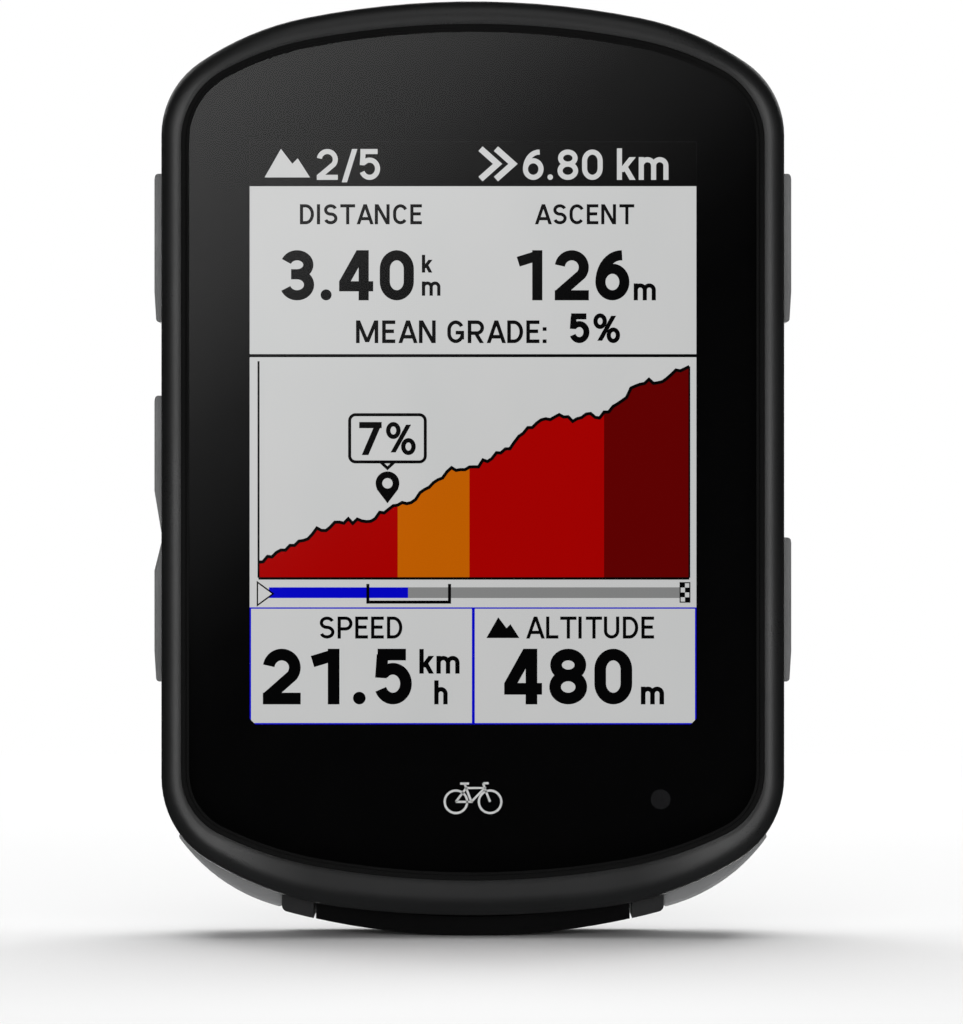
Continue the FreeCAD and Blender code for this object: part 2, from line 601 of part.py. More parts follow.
def rear_housing(form, buttons):
    """Deep tub with its mount seat, the ribs moulded inside it and the port surround."""
    cavity = slab("tub_cavity", "case", "wall", ("split_y", "-wall"))
    fillet(cavity, "cavity_round", lambda m, e: abs(m.y + VALUES["wall"]) < NEAR,
           "wall_round")
    shell = cut("tub_shell", form, [cavity])
    inside = slab("inside_zone", "case", "seam_step", ("split_y", "0"))
    guides, pockets = button_tools(buttons)
    extra = common("inner_parts", fuse("inner_group", guides + rear_additions()), inside)
    whole = cut("tub_whole", fuse("tub_solid", [shell, extra]),
                pockets + rear_cuts() + cover_room())
    zone = block("surround_zone", ("-cover_half_w - cover_gap", "cover_half_w + cover_gap"),
                 ("split_y - over", "over"),
                 ("chin_z - chin_r - over", "hinge_z + bead_r + bead_gap"))
    node(common("surround", whole, zone), "port_surround")
    tub = cut("tub", whole, [zone])
    node(common("ribs", tub, cavity), "housing_ribs")
    node(cut("tub_walls", tub, [cavity]), "rear_housing")


def side_cap(name, side, low, high, low_end, high_end):
    """Long side button with shaped ends and rounded outer edges."""
    inner = "%d * (case_half_w - pocket_deep + cap_lift)" % side
    outer = "%d * (case_half_w + cap_proud)" % side
    (low_drop, low_run), (high_drop, high_run) = low_end, high_end
    corners = [(inner, low), ("%s - %s" % (outer, side * low_drop), low),
               (outer, low + low_run), (outer, high - high_run),
               ("%s - %s" % (outer, side * high_drop), high), (inner, high)]
    if side < 0:
        corners.reverse()
    cap = prism(name + "_cap", corners, ("cap_front_y", "cap_back_y"))
    skin = VALUES["case_half_w"]
    fillet(cap, name + "_cap_round", lambda m, e: abs(m.x) > skin, "cap_round")
    node(cap, name + "_button_cap")


def corner_cap(name, side):
    """Curved button at a lower corner."""
    raw = sector(name + "_cap_raw", "corner_floor_r + cap_lift", "corner_out_r",
                 "corner_from", "corner_to", side, ("cap_front_y", "cap_back_y"))
    doc.recompute()
    cap = carry(name + "_cap", raw)
    limit = VALUES["corner_out_r"] - NEAR

    def on_outside(middle, edge):
        across = abs(middle.x) - VALUES["corner_x"]
        down = middle.z - VALUES["corner_z"]
        return math.hypot(across, down) > limit
    fillet(cap, name + "_cap_round", on_outside, "cap_round")
    node(cap, name + "_button_cap")


def stem_parts(button):
    """Plunger, sealing ring and the switch it presses."""
    name = button.name
    disc_top = "-guide_len - disc_gap"
    nose_top = "(%s - disc_thick)" % disc_top
    nose_end = "(%s - nose_len)" % nose_top
    stem_top = "cap_lift"
    if name in CORNER_BUTTONS:
        # the flat end's rim meets the cap's curved underside here
        stem_top = "sqrt((corner_floor_r + cap_lift)^2 - stem_r^2) - corner_floor_r - touch_gap"
    stem = peg(name + "_stem", "stem_r", (nose_top, stem_top))
    groove_z = around("-ring_at", "(ring_wire_r + ring_gap)")
    groove = cut(name + "_groove", peg(name + "_groove_out", "stem_r + over", groove_z),
                 [peg(name + "_groove_in", "ring_mid_r - ring_wire_r - fit_gap", groove_z)])
    disc = peg(name + "_disc", "disc_r", (nose_top, disc_top))
    nose = peg(name + "_nose", "nose_r", (nose_end, nose_top))
    plunger = cut(name + "_plunger_body",
                  fuse(name + "_plunger_solid", [stem, disc, nose]), [groove])
    node(button.turn(plunger), name + "_plunger")

    torus = doc.addObject("Part::Torus", name + "_ring")
    bind(torus, Radius1="ring_mid_r", Radius2="ring_wire_r")
    node(button.turn(torus, "-ring_at"), name + "_oring")

    key_top = "(%s - travel - switch_gap)" % nose_end
    key_low = "(%s - switch_key_len)" % key_top
    case = block(name + "_switch_case", ("-switch_w / 2", "switch_w / 2"),
                 ("-switch_deep / 2", "switch_deep / 2"),
                 ("%s - switch_thick" % key_low, key_low))
    key = peg(name + "_switch_key", "switch_key_r", (key_low, key_top))
    node(button.turn(fuse(name + "_switch_body", [case, key])), name + "_switch")


STACK_LEN = ("(guide_len + disc_gap + disc_thick + nose_len + travel + switch_gap"
             " + switch_key_len + switch_thick)")


def key_flexes(buttons):
    """Thin circuits that carry the switches."""
    for side, label in ((-1, "left"), (1, "right")):
        near = "(case_half_w - pocket_deep - %s)" % STACK_LEN
        x = ["%s - flex_thick" % near, near]
        if side < 0:
            x = ["-" + near, "-(%s)" % x[0]]
        node(block(label + "_flex", x, ("cap_front_y + flex_inset", "cap_back_y - flex_inset"),
                   ("-flex_half_len", "flex_half_len")), label + "_key_flex")
    pair = []
    for button in buttons:
        if button.name in CORNER_BUTTONS:
            strip = plate(button.name + "_flex", ("-corner_flex_half_w", "corner_flex_half_w"),
                          ("-corner_flex_half_deep", "corner_flex_half_deep"),
                          ("-%s - flex_thick" % STACK_LEN, "-" + STACK_LEN))
            pair.append(button.turn(strip))
    node(fuse("low_flex", pair), "lower_key_flex")


def mid_frame(buttons):
    """Sheet-metal frame between display and electronics, with switch brackets."""
    sheet_y = ("frame_front_y", "frame_back_y")
    pieces = [block("frame_upper", ("-frame_half_w", "frame_half_w"), sheet_y,
                    ("frame_mid_z", "frame_top_z")),
              block("frame_lower", ("-frame_low_half_w", "frame_low_half_w"), sheet_y,
                    ("frame_low_z", "frame_mid_z"))]
    depth = ("frame_back_y", "cap_back_y - bracket_gap")
    near = "(case_half_w - pocket_deep - %s - flex_thick)" % STACK_LEN
    for side in (-1, 1):
        x = ["%s - flange_thick" % near, near]
        if side < 0:
            x = ["-" + near, "-(%s)" % x[0]]
        pieces.append(block("flange_%d" % (side + 1), x, depth,
                            ("-flange_half_len", "flange_half_len")))
    for button in buttons:
        if button.name in CORNER_BUTTONS:
            low = "-%s - flex_thick" % STACK_LEN
            bracket = plate(button.name + "_bracket", ("-bracket_half_w", "bracket_half_w"),
                            ("-bracket_front", "bracket_back"),
                            ("%s - flange_thick" % low, low))
            pieces.append(button.turn(bracket))
    slot = block("frame_slot", ("-frame_slot_half_w", "frame_slot_half_w"),
                 ("frame_front_y - over", "frame_back_y + over"),
                 ("frame_slot_low_z", "frame_slot_top_z"))
    node(cut("frame", fuse("frame_whole", pieces), [slot]), "mid_frame")


def display_parts():
    """Display panel, backlight and the ribbon to the board."""
    wide, tall = ("-panel_half_w", "panel_half_w"), ("panel_low_z", "panel_top_z")
    node(block("panel", wide, ("panel_front_y", "panel_back_y"), tall), "display_panel")
    node(block("light", wide, ("panel_back_y", "light_back_y"), tall), "backlight")
    wide = ("-ribbon_half_w", "ribbon_half_w")
    down = block("ribbon_down", wide, ("panel_back_y", "board_front_y - ribbon_foot_thick / 2"),
                 ("ribbon_low_z", "ribbon_low_z + ribbon_thick"))
    tab = block("ribbon_tab", wide, ("panel_front_y + sink", "panel_back_y"),
                ("ribbon_low_z", "panel_low_z"))
    foot = block("ribbon_foot", wide, ("board_front_y - ribbon_foot_thick", "board_front_y"),
                 ("ribbon_low_z", "ribbon_foot_z"))
    node(fuse("ribbon", [down, tab, foot]), "display_flex")


def board_parts():
    """Circuit board and what is soldered to it."""
    depth = ("board_front_y", "board_back_y")
    stages = (("main", "board_half_w", "board_low_z", "board_mid_z"),
              ("top", "board_top_half_w", "board_mid_z", "board_top_z"),
              ("tail", "board_tail_half_w", "board_tail_z", "board_low_z"))
    node(fuse("board_form", [block("board_" + tag, ("-" + half_w, half_w), depth, (low, high))
                             for tag, half_w, low, high in stages]), "main_board")
    outer = block("shield_outer", ("-shield_half_w", "shield_half_w"),
                  ("shield_back_y", "board_front_y"), ("shield_low_z", "shield_top_z"))
    wide = "(shield_half_w - shield_wall)"
    inner = block("shield_inner", ("-" + wide, wide),
                  ("shield_back_y + shield_wall", "board_front_y + over"),
                  ("shield_low_z + shield_wall", "shield_top_z - shield_wall"))
    node(cut("shield", outer, [inner]), "rf_shield")
    node(block("chip", ("-chip_half_w", "chip_half_w"),
               ("board_front_y - chip_thick", "board_front_y"),
               around("chip_mid_z", "chip_half_w")), "processor")
    node(block("antenna", ("-antenna_half_w", "antenna_half_w"),
               ("board_back_y", "board_back_y + antenna_thick"),
               ("antenna_low_z", "antenna_low_z + 2 * antenna_half_w")), "gnss_antenna")
    node(block("baro", around("vent_x", "baro_half_w"),
               ("board_back_y", "board_back_y + baro_thick"),
               around("vent_z", "baro_half_w")), "pressure_sensor")
    node(rod("eye", "sensor_r", ("panel_front_y", "frame_front_y"), "sensor_x", "sensor_z"),
         "light_sensor")


def power_parts():
    """Battery pack with its pad and lead."""
    cell = plate("cell", ("-battery_half_w", "battery_half_w"),
                 ("battery_front_y", "battery_back_y"), ("battery_low_z", "battery_top_z"))
    fillet(cell, "cell_round", upright(VALUES["battery_half_w"]), "battery_round")
    node(cell, "battery")
    node(block("pad", ("-battery_half_w + foam_inset", "battery_half_w - foam_inset"),
               ("battery_back_y", "foam_back_y"), ("-foam_half_h", "foam_half_h")),
         "battery_foam")
    socket = block("socket", around("socket_x", "socket_half_w"),
                   ("board_back_y", "board_back_y + socket_thick"),
                   ("socket_low_z", "socket_top_z"))
    lift = "board_back_y + lead_lift"
    strands = [block("strand_%d" % k,
                     around("socket_x + %d * strand_apart" % side, "strand_half_w"),
                     (lift, "%s + strand_thick" % lift), ("battery_top_z", "socket_low_z"))
               for k, side in enumerate((-1, 1))]
    rise = block("lead_rise", around("socket_x", "lead_half_w"),
                 (lift, "battery_front_y + lead_entry"),
                 ("battery_top_z", "battery_top_z + strand_thick"))
    node(fuse("lead", [socket, rise] + strands), "battery_lead")


def port_parts():
    """Charging port shell with its tongue, and the seal round it."""
    shell = plate("port_case", ("-port_half_w", "port_half_w"),
                  ("board_back_y", "port_back_y"), ("recess_top_z", "port_inner_z"))
    fillet(shell, "port_round", upright(VALUES["port_half_w"]), "port_round")
    wide = "(port_half_w - port_metal)"
    mouth = plate("port_mouth", ("-" + wide, wide),
                  ("board_back_y + port_metal", "port_back_y - port_metal"),
                  ("recess_top_z - over", "port_inner_z - port_end"))
    fillet(mouth, "mouth_round", upright(VALUES["port_half_w"] - VALUES["port_metal"]),
           "mouth_round")
    tongue = block("port_tongue", ("-tongue_half_w", "tongue_half_w"),
                   ("tongue_front_y", "tongue_back_y"),
                   ("recess_top_z + tongue_inset", "port_inner_z - port_end / 2"))
    node(fuse("port", [cut("port_shell", shell, [mouth]), tongue]), "usb_port")
    seat = "recess_top_z + port_wall"
    wide = "(port_half_w + port_seal_w)"
    outer = block("seal_outer", ("-" + wide, wide), ("board_back_y", "port_back_y + port_seal_h"),
                  (seat, seat + " + port_seal_thick"))
    wide = "(port_half_w + fit_gap)"
    inner = block("seal_inner", ("-" + wide, wide),
                  ("board_back_y - over", "port_back_y + fit_gap"),
                  ("recess_top_z", seat + " + over"))
    node(cut("port_seal", outer, [inner]), "usb_port_seal")


def mount_parts():
    """Quarter-turn boss with two ears, and its four screws."""
    post = rod("mount_post", "mount_r", ("mount_seat_y", "boss_end_y"))
    ear_disc = rod("ear_disc", "ear_r", ("boss_end_y - ear_thick", "boss_end_y"))
    ear_zone = block("ear_zone", ("-ear_r", "ear_r"), ("boss_end_y - ear_thick", "boss_end_y"),
                     ("-ear_half_w", "ear_half_w"))
    solid = fuse("mount_solid", [post, common("ears", ear_disc, ear_zone)])
    dish = rod("mount_dish", "mount_dish_r", ("mount_dish_y", "boss_end_y + over"))
    away = [dish] + rods("mount_bore", "mount_screw_r + mount_screw_gap",
                         ("mount_seat_y - over", "mount_dish_y + over"), MOUNT_SPOTS)
    away += rods("mount_sink", "mount_head_r + mount_screw_gap",
                 ("mount_dish_y - mount_head_deep", "boss_end_y"), MOUNT_SPOTS)
    ear_y = "boss_end_y - ear_thick"
    for side in (-1, 1):
        away.append(rod("detent_%d" % (side + 1), "detent_r",
                        (ear_y + " - over", ear_y + " + detent_deep"),
                        "%d * (ear_r - detent_in)" % side, 0))
    mount = carry("mount_body", cut("mount_raw", solid, away))

    def on_rim(middle, edge):
        at_end = abs(middle.y - VALUES["boss_end_y"]) < NEAR
        return at_end and math.hypot(middle.x, middle.z) > VALUES["ear_r"] - NEAR
    fillet(mount, "mount_rim_round", on_rim, "mount_round")
    node(mount, "mount_insert")
    node(screws("mount_screw", MOUNT_SPOTS, "mount_screw_r", "mount_head_r",
                ("mount_screw_end_y", "mount_dish_y"), "mount_head_deep"), "mount_screws")


def screws(name, spots, radius, head_radius, y, head_deep):
    """Set of equal screws along Y with a cross recess in each head."""
    solids = rods(name + "_shaft", radius, (y[0], "%s - %s" % (y[1], head_deep)), spots)
    solids += rods(name + "_head", head_radius, ("%s - %s" % (y[1], head_deep), y[1]), spots)
    slots = []
    depth = ("%s - slot_deep" % y[1], "%s + over" % y[1])
    arms = (("a", "slot_half_len", "slot_half_w"), ("b", "slot_half_w", "slot_half_len"))
    for k, (x, z) in enumerate(spots):
        for tag, half_w, half_h in arms:
            slots.append(block("%s_slot_%d%s" % (name, k, tag), around(x, half_w), depth,
                               around(z, half_h)))
    return cut(name + "s", fuse(name + "_solid", solids), slots)


def small_parts():
    """Case screws, case seal, sounder, vent and lanyard bar."""
    node(screws("case_screw", SCREW_SPOTS, "screw_r", "screw_head_r",
                ("screw_end_y", "-screw_sink"), "(screw_head_deep - screw_sink)"),
         "case_screws")
    node(ring("case_seal", "case", "groove_out + groove_gap", "groove_in - groove_gap",
              ("split_y", "split_y + groove_deep - fit_gap")), "housing_gasket")
    node(rod("sounder", "buzzer_r", ("-wall - buzzer_thick", "-wall"), "buzzer_x", "vent_z"),
         "buzzer")
    node(rod("membrane", "membrane_r", ("-wall - membrane_thick", "-wall"), "vent_x",
             "vent_z"), "vent_membrane")
    node(bar("tether", "lanyard_r", around("lanyard_x", "lanyard_half_len"), "lanyard_y",
             "lanyard_z"), "lanyard_bar")


def write_parts():
    """Check every object and write each sub-part."""
    doc.recompute()
    broken = [obj.Label for obj in doc.Objects
              if "Invalid" in obj.State or "Error" in obj.State]
    if broken:
        raise RuntimeError("broken objects: %s" % ", ".join(broken))
    os.makedirs("parts", exist_ok=True)
    for obj in nodes:
        shape = obj.Shape
        if shape.isNull() or not shape.isValid():
            raise RuntimeError("%s has no valid shape" % obj.Label)
        print("%-22s solids %d volume %9.2f" % (obj.Label, len(shape.Solids), shape.Volume))
        shape.exportStep("parts/%s.step" % obj.Label)


fill_sheet()
button_list = all_buttons()
front_housing()
lens_parts()
outside = outer_form()
port_cover(outside)
rear_housing(outside, button_list)
for cap_name, numbers in SIDE_BUTTONS.items():
    side_cap(cap_name, *numbers)
for cap_name, cap_side in CORNER_BUTTONS.items():
    corner_cap(cap_name, cap_side)
for one_button in button_list:
    stem_parts(one_button)
key_flexes(button_list)
mid_frame(button_list)
display_parts()
board_parts()
power_parts()
port_parts()
mount_parts()
small_parts()
write_parts()
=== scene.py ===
import json
import math
import random

import bmesh
import bpy
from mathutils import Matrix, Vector


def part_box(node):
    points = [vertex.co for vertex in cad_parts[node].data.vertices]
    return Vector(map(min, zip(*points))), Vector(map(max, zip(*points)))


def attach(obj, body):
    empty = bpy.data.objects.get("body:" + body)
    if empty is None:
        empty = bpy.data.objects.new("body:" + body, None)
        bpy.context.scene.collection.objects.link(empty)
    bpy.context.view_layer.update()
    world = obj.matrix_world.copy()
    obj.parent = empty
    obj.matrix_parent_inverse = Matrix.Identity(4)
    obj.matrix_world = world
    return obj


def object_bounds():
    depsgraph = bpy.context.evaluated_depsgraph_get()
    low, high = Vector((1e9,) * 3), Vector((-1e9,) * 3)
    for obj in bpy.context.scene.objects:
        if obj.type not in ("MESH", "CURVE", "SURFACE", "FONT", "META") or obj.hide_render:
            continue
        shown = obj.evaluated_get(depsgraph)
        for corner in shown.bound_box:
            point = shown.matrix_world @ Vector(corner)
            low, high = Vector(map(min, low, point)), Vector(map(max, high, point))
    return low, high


# Looks of a cycling computer, in metres: X right, Z up, the screen faces -Y.

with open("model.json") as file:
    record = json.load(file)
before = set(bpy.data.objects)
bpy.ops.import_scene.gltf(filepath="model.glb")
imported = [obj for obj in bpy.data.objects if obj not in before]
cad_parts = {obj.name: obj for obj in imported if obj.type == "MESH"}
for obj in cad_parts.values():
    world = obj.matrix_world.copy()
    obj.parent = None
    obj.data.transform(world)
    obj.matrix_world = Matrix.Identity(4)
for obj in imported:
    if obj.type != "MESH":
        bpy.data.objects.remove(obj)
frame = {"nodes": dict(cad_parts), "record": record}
cad_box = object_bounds()
nodes = frame["nodes"]
MM = 0.001


# ---------------------------------------------------------------- materials

class Shader:
    """One material and the few node calls that the surfaces below need."""

    def __init__(self, name):
        self.material = bpy.data.materials.new(name)
        self.material.use_nodes = True
        self.tree = self.material.node_tree
        self.surface = self.tree.nodes["Principled BSDF"]
        self.output = self.tree.nodes["Material Output"]
        self.place = self.add("ShaderNodeTexCoord").outputs["Object"]

    def add(self, kind, **settings):
        node = self.tree.nodes.new(kind)
        for key, value in settings.items():
            setattr(node, key, value)
        return node

    def join(self, source, node, socket):
        self.tree.links.new(source, node.inputs[socket])

    def stretched(self, scale):
        """Object coordinates scaled by a factor for each axis."""
        mapping = self.add("ShaderNodeMapping")
        mapping.inputs["Scale"].default_value = scale
        self.join(self.place, mapping, "Vector")
        return mapping.outputs["Vector"]

    def noise(self, size, detail=3.0, place=None):
        """Noise from 0 to 1 whose blotches measure about size metres."""
        node = self.add("ShaderNodeTexNoise")
        node.inputs["Scale"].default_value = 1 / size
        node.inputs["Detail"].default_value = detail
        self.join(place or self.place, node, "Vector")
        return node.outputs["Fac"]

    def cells(self, size, feature="F1", output="Distance"):
        """Distance to the nearest of many scattered points, size metres apart."""
        node = self.add("ShaderNodeTexVoronoi", feature=feature)
        node.inputs["Scale"].default_value = 1 / size
        self.join(self.place, node, "Vector")
        return node.outputs[output]

    def spread(self, source, low, high, from_low=0.3, from_high=0.7):
        """Map a factor linearly to the range low to high."""
        node = self.add("ShaderNodeMapRange")
        for socket, value in (("From Min", from_low), ("From Max", from_high),
                              ("To Min", low), ("To Max", high)):
            node.inputs[socket].default_value = value
        self.join(source, node, "Value")
        return node.outputs["Result"]

    def math(self, operation, first, second):
        node = self.add("ShaderNodeMath", operation=operation)
        for index, value in enumerate((first, second)):
            if isinstance(value, (int, float)):
                node.inputs[index].default_value = value
            else:
                self.join(value, node, index)
        return node.outputs["Value"]

    def ramp(self, factor, stops):
        """Colour ramp through (position, colour) stops."""
        node = self.add("ShaderNodeValToRGB")
        ramp = node.color_ramp
        ramp.elements[0].position, ramp.elements[1].position = 0, 1
        while len(ramp.elements) < len(stops):
            ramp.elements.new(0.5)
        for element, (position, colour) in zip(ramp.elements, stops):
            element.position = position
            element.color = (*colour, 1)
        self.join(factor, node, "Fac")
        return node.outputs["Color"]

    def tint(self, colour, swing, size, detail=3.0):
        """Colour that drifts by plus or minus a share over blotches of one size."""
        low = [channel * (1 - swing) for channel in colour]
        high = [channel * (1 + swing) for channel in colour]
        return self.ramp(self.noise(size, detail), [(0.3, low), (0.7, high)])

    def rounded(self, radius):
        """Normal that rolls over sharp edges within a small radius."""
        soft = self.add("ShaderNodeBevel", samples=4)
        soft.inputs["Radius"].default_value = radius
        return soft.outputs["Normal"]

    def edges(self, soft):
        """Factor that rises from 0 on flats to 1 where a rounded normal leaves the face."""
        flat = self.add("ShaderNodeNewGeometry")
        dot = self.add("ShaderNodeVectorMath", operation="DOT_PRODUCT")
        self.join(soft, dot, 0)
        self.join(flat.outputs["Normal"], dot, 1)
        return self.spread(dot.outputs["Value"], 1, 0, from_low=0.75, from_high=0.98)

    def mix(self, factor, first, second):
        """Blend of two colours."""
        node = self.add("ShaderNodeMix", data_type="RGBA")
        self.join(factor, node, 0)
        for index, value in ((6, first), (7, second)):
            if isinstance(value, (tuple, list)):
                node.inputs[index].default_value = (*value, 1)
            else:
                self.join(value, node, index)
        return node.outputs[2]

    def diagonal(self):
        """Distance across the front, from the upper left to the lower right."""
        parts = self.add("ShaderNodeSeparateXYZ")
        self.join(self.place, parts, "Vector")
        return self.math("SUBTRACT", self.math("MULTIPLY", parts.outputs["X"], 0.88),
                         parts.outputs["Z"])

    def bump(self, height, depth, soft=None):
        """Relief of a given depth in metres, over a rounded normal if one is given."""
        node = self.add("ShaderNodeBump")
        node.inputs["Distance"].default_value = depth
        self.join(height, node, "Height")
        if soft:
            self.join(soft, node, "Normal")
        self.join(node.outputs["Normal"], self.surface, "Normal")


def moulded(name, colour, roughness, grain, depth, wear=0.0, specular=0.5,
            soft_edge=0.10 * MM, shine=None):
    """Moulded plastic or rubber: fine grain, drifting gloss and paler worn edges."""
    s = Shader(name)
    soft = s.rounded(soft_edge)
    paint = s.tint(colour, 0.12, 9 * MM)
    if wear:
        pale = tuple(channel + wear for channel in colour)
        worn = s.math("MULTIPLY", s.edges(soft), s.noise(1.4 * MM))
        paint = s.mix(worn, paint, pale)
    s.join(paint, s.surface, "Base Color")
    gloss = s.math("ADD", s.spread(s.noise(14 * MM), -0.04, 0.04),
                   s.spread(s.noise(grain), roughness - 0.05, roughness + 0.05))
    s.join(gloss, s.surface, "Roughness")
    s.surface.inputs["Specular IOR Level"].default_value = specular
    if shine:
        s.join(shine(s), s.surface, "Specular IOR Level")
    s.bump(s.noise(grain, detail=2), depth, soft)
    return s.material


def housing():
    return moulded("housing_plastic", (0.0055, 0.0056, 0.0058), 0.46, 0.16 * MM, 0.014 * MM,
                   wear=0.02, specular=0.15)


def rim_painted_shine(s):
    """Shine painted by place: even, except low down, where painted shade dulls the middle of that
    edge and painted highlight brightens its ends.
    """
    reach, fade_start, fade_end = 30 * MM, 29 * MM, 34 * MM
    parts = s.add("ShaderNodeSeparateXYZ")
    s.join(s.place, parts, "Vector")
    height = parts.outputs["Z"]
    off_centre = s.math("ABSOLUTE", parts.outputs["X"], 0)
    share = s.spread(off_centre, 0, 1, from_low=0, from_high=reach)
    # painted shine along the lower edge: a dull middle as painted shade, bright ends as painted
    # highlight
    levels = [(0.0, 0.24), (0.49, 0.24), (0.61, 0.44), (0.70, 0.72), (0.77, 0.84),
              (0.82, 0.70), (0.87, 0.46)]
    low_edge = s.ramp(share, [(position, (level,) * 3) for position, level in levels])
    lowness = s.spread(height, 0, 1, from_low=-fade_start, from_high=-fade_end)
    upper = s.spread(height, 0.50, 0.40, from_low=fade_start, from_high=fade_end)
    return s.mix(lowness, upper, low_edge)


def bezel():
    # its shine is painted by place: painted shade and painted highlight along its lower edge
    return moulded("bezel_plastic", (0.0045, 0.0046, 0.0047), 0.33, 0.10 * MM, 0.003 * MM,
                   wear=0.01, soft_edge=0.9 * MM, shine=rim_painted_shine)


def button():
    return moulded("button_plastic", (0.108, 0.109, 0.110), 0.44, 0.12 * MM, 0.005 * MM,
                   wear=0.03, specular=0.15)


def cover():
    return moulded("cover_rubber", (0.0009, 0.0009, 0.00095), 0.62, 0.20 * MM, 0.010 * MM,
                   specular=0.035)


def seal():
    return moulded("seal_rubber", (0.0020, 0.0020, 0.0020), 0.62, 0.18 * MM, 0.006 * MM,
                   specular=0.05)


def mount():
    return moulded("mount_plastic", (0.016, 0.016, 0.017), 0.46, 0.22 * MM, 0.022 * MM,
                   wear=0.05)


def chip():
    return moulded("chip_resin", (0.024, 0.024, 0.026), 0.58, 0.09 * MM, 0.010 * MM)


def ceramic():
    return moulded("antenna_ceramic", (0.60, 0.53, 0.42), 0.48, 0.14 * MM, 0.006 * MM)


def light_guide():
    return moulded("light_guide_acrylic", (0.74, 0.75, 0.77), 0.22, 0.5 * MM, 0.004 * MM)


def foam():
    """Open-celled foam and felt-like membrane."""
    s = Shader("foam_cells")
    pores = s.cells(0.45 * MM)
    s.join(s.ramp(pores, [(0.1, (0.012, 0.012, 0.013)), (0.6, (0.075, 0.075, 0.08))]),
           s.surface, "Base Color")
    s.join(s.spread(s.noise(0.3 * MM), 0.85, 1.0), s.surface, "Roughness")
    s.bump(pores, 0.15 * MM)
    return s.material


def metal(name, colour, roughness, stretch, depth):
    """Metal with fine lines drawn along the short axis of its stretch."""
    s = Shader(name)
    lines = s.noise(0.25 * MM, detail=4, place=s.stretched(stretch))
    low = tuple(channel * 0.85 for channel in colour)
    s.join(s.ramp(lines, [(0.3, low), (0.7, colour)]), s.surface, "Base Color")
    s.join(s.spread(lines, roughness - 0.07, roughness + 0.08), s.surface, "Roughness")
    s.surface.inputs["Metallic"].default_value = 1.0
    s.bump(lines, depth, s.rounded(0.05 * MM))
    return s.material


def sheet_metal():
    return metal("sheet_metal_rolled", (0.56, 0.57, 0.58), 0.34, (1, 1, 0.06), 0.003 * MM)


def steel():
    return metal("steel_polished", (0.62, 0.62, 0.63), 0.20, (0.08, 1, 1), 0.001 * MM)


def screw():
    return metal("screw_black_zinc", (0.13, 0.13, 0.14), 0.38, (1, 0.2, 1), 0.004 * MM)


def cell():
    """Crinkled foil of a battery pouch."""
    s = Shader("cell_foil")
    creases = s.noise(4 * MM, detail=6)
    s.join(s.ramp(creases, [(0.3, (0.42, 0.43, 0.45)), (0.7, (0.66, 0.67, 0.69))]),
           s.surface, "Base Color")
    s.join(s.spread(creases, 0.28, 0.45), s.surface, "Roughness")
    s.surface.inputs["Metallic"].default_value = 0.9
    s.bump(creases, 0.12 * MM)
    return s.material


def board():
    """Green solder mask over copper tracks."""
    s = Shader("board_solder_mask")
    tracks = s.cells(2.2 * MM, feature="DISTANCE_TO_EDGE")
    copper = s.spread(tracks, 1, 0, from_low=0.04, from_high=0.09)
    green = s.tint((0.012, 0.075, 0.035), 0.15, 5 * MM)
    s.join(s.mix(copper, green, (0.05, 0.17, 0.07)), s.surface, "Base Color")
    s.join(s.spread(s.noise(0.8 * MM), 0.22, 0.36), s.surface, "Roughness")
    s.bump(copper, 0.03 * MM)
    return s.material


def flex():
    """Amber film with parallel conductors."""
    s = Shader("flex_film")
    wave = s.add("ShaderNodeTexWave", bands_direction="X")
    wave.inputs["Scale"].default_value = 1 / (3.2 * MM)
    s.join(s.place, wave, "Vector")
    bands = wave.outputs["Fac"]
    s.join(s.ramp(bands, [(0.4, (0.36, 0.15, 0.03)), (0.6, (0.52, 0.27, 0.07))]),
           s.surface, "Base Color")
    s.join(s.spread(s.noise(1.1 * MM), 0.25, 0.40), s.surface, "Roughness")
    s.bump(bands, 0.01 * MM)
    return s.material


def lens():
    """Clear cover glass: a faint mirror at its outer faces, bonded without one behind."""
    s = Shader("lens_glass")
    smears = s.noise(7 * MM, detail=5, place=s.stretched((1, 1, 0.5)))
    gloss = s.add("ShaderNodeBsdfGlossy")
    gloss.inputs["Color"].default_value = (1, 1, 1, 1)
    s.join(s.spread(smears, 0.0, 0.045), gloss, "Roughness")
    clear = s.add("ShaderNodeBsdfTransparent")
    s.join(s.ramp(smears, [(0.3, (0.985, 0.99, 0.99)), (0.7, (1, 1, 1))]), clear, "Color")
    fresnel = s.add("ShaderNodeFresnel")
    fresnel.inputs["IOR"].default_value = 1.5
    outside = s.math("SUBTRACT", 1, s.add("ShaderNodeNewGeometry").outputs["Backfacing"])
    mixed = s.add("ShaderNodeMixShader")
    s.join(s.math("MULTIPLY", fresnel.outputs["Fac"], outside), mixed, "Fac")
    s.join(clear.outputs["BSDF"], mixed, 1)
    s.join(gloss.outputs["BSDF"], mixed, 2)
    s.tree.nodes.remove(s.surface)
    s.join(mixed.outputs["Shader"], s.output, "Surface")
    return s.material


PIXEL = 0.165 * MM
GLASS_PASS = 0.96  # share of the light that the cover glass lets through


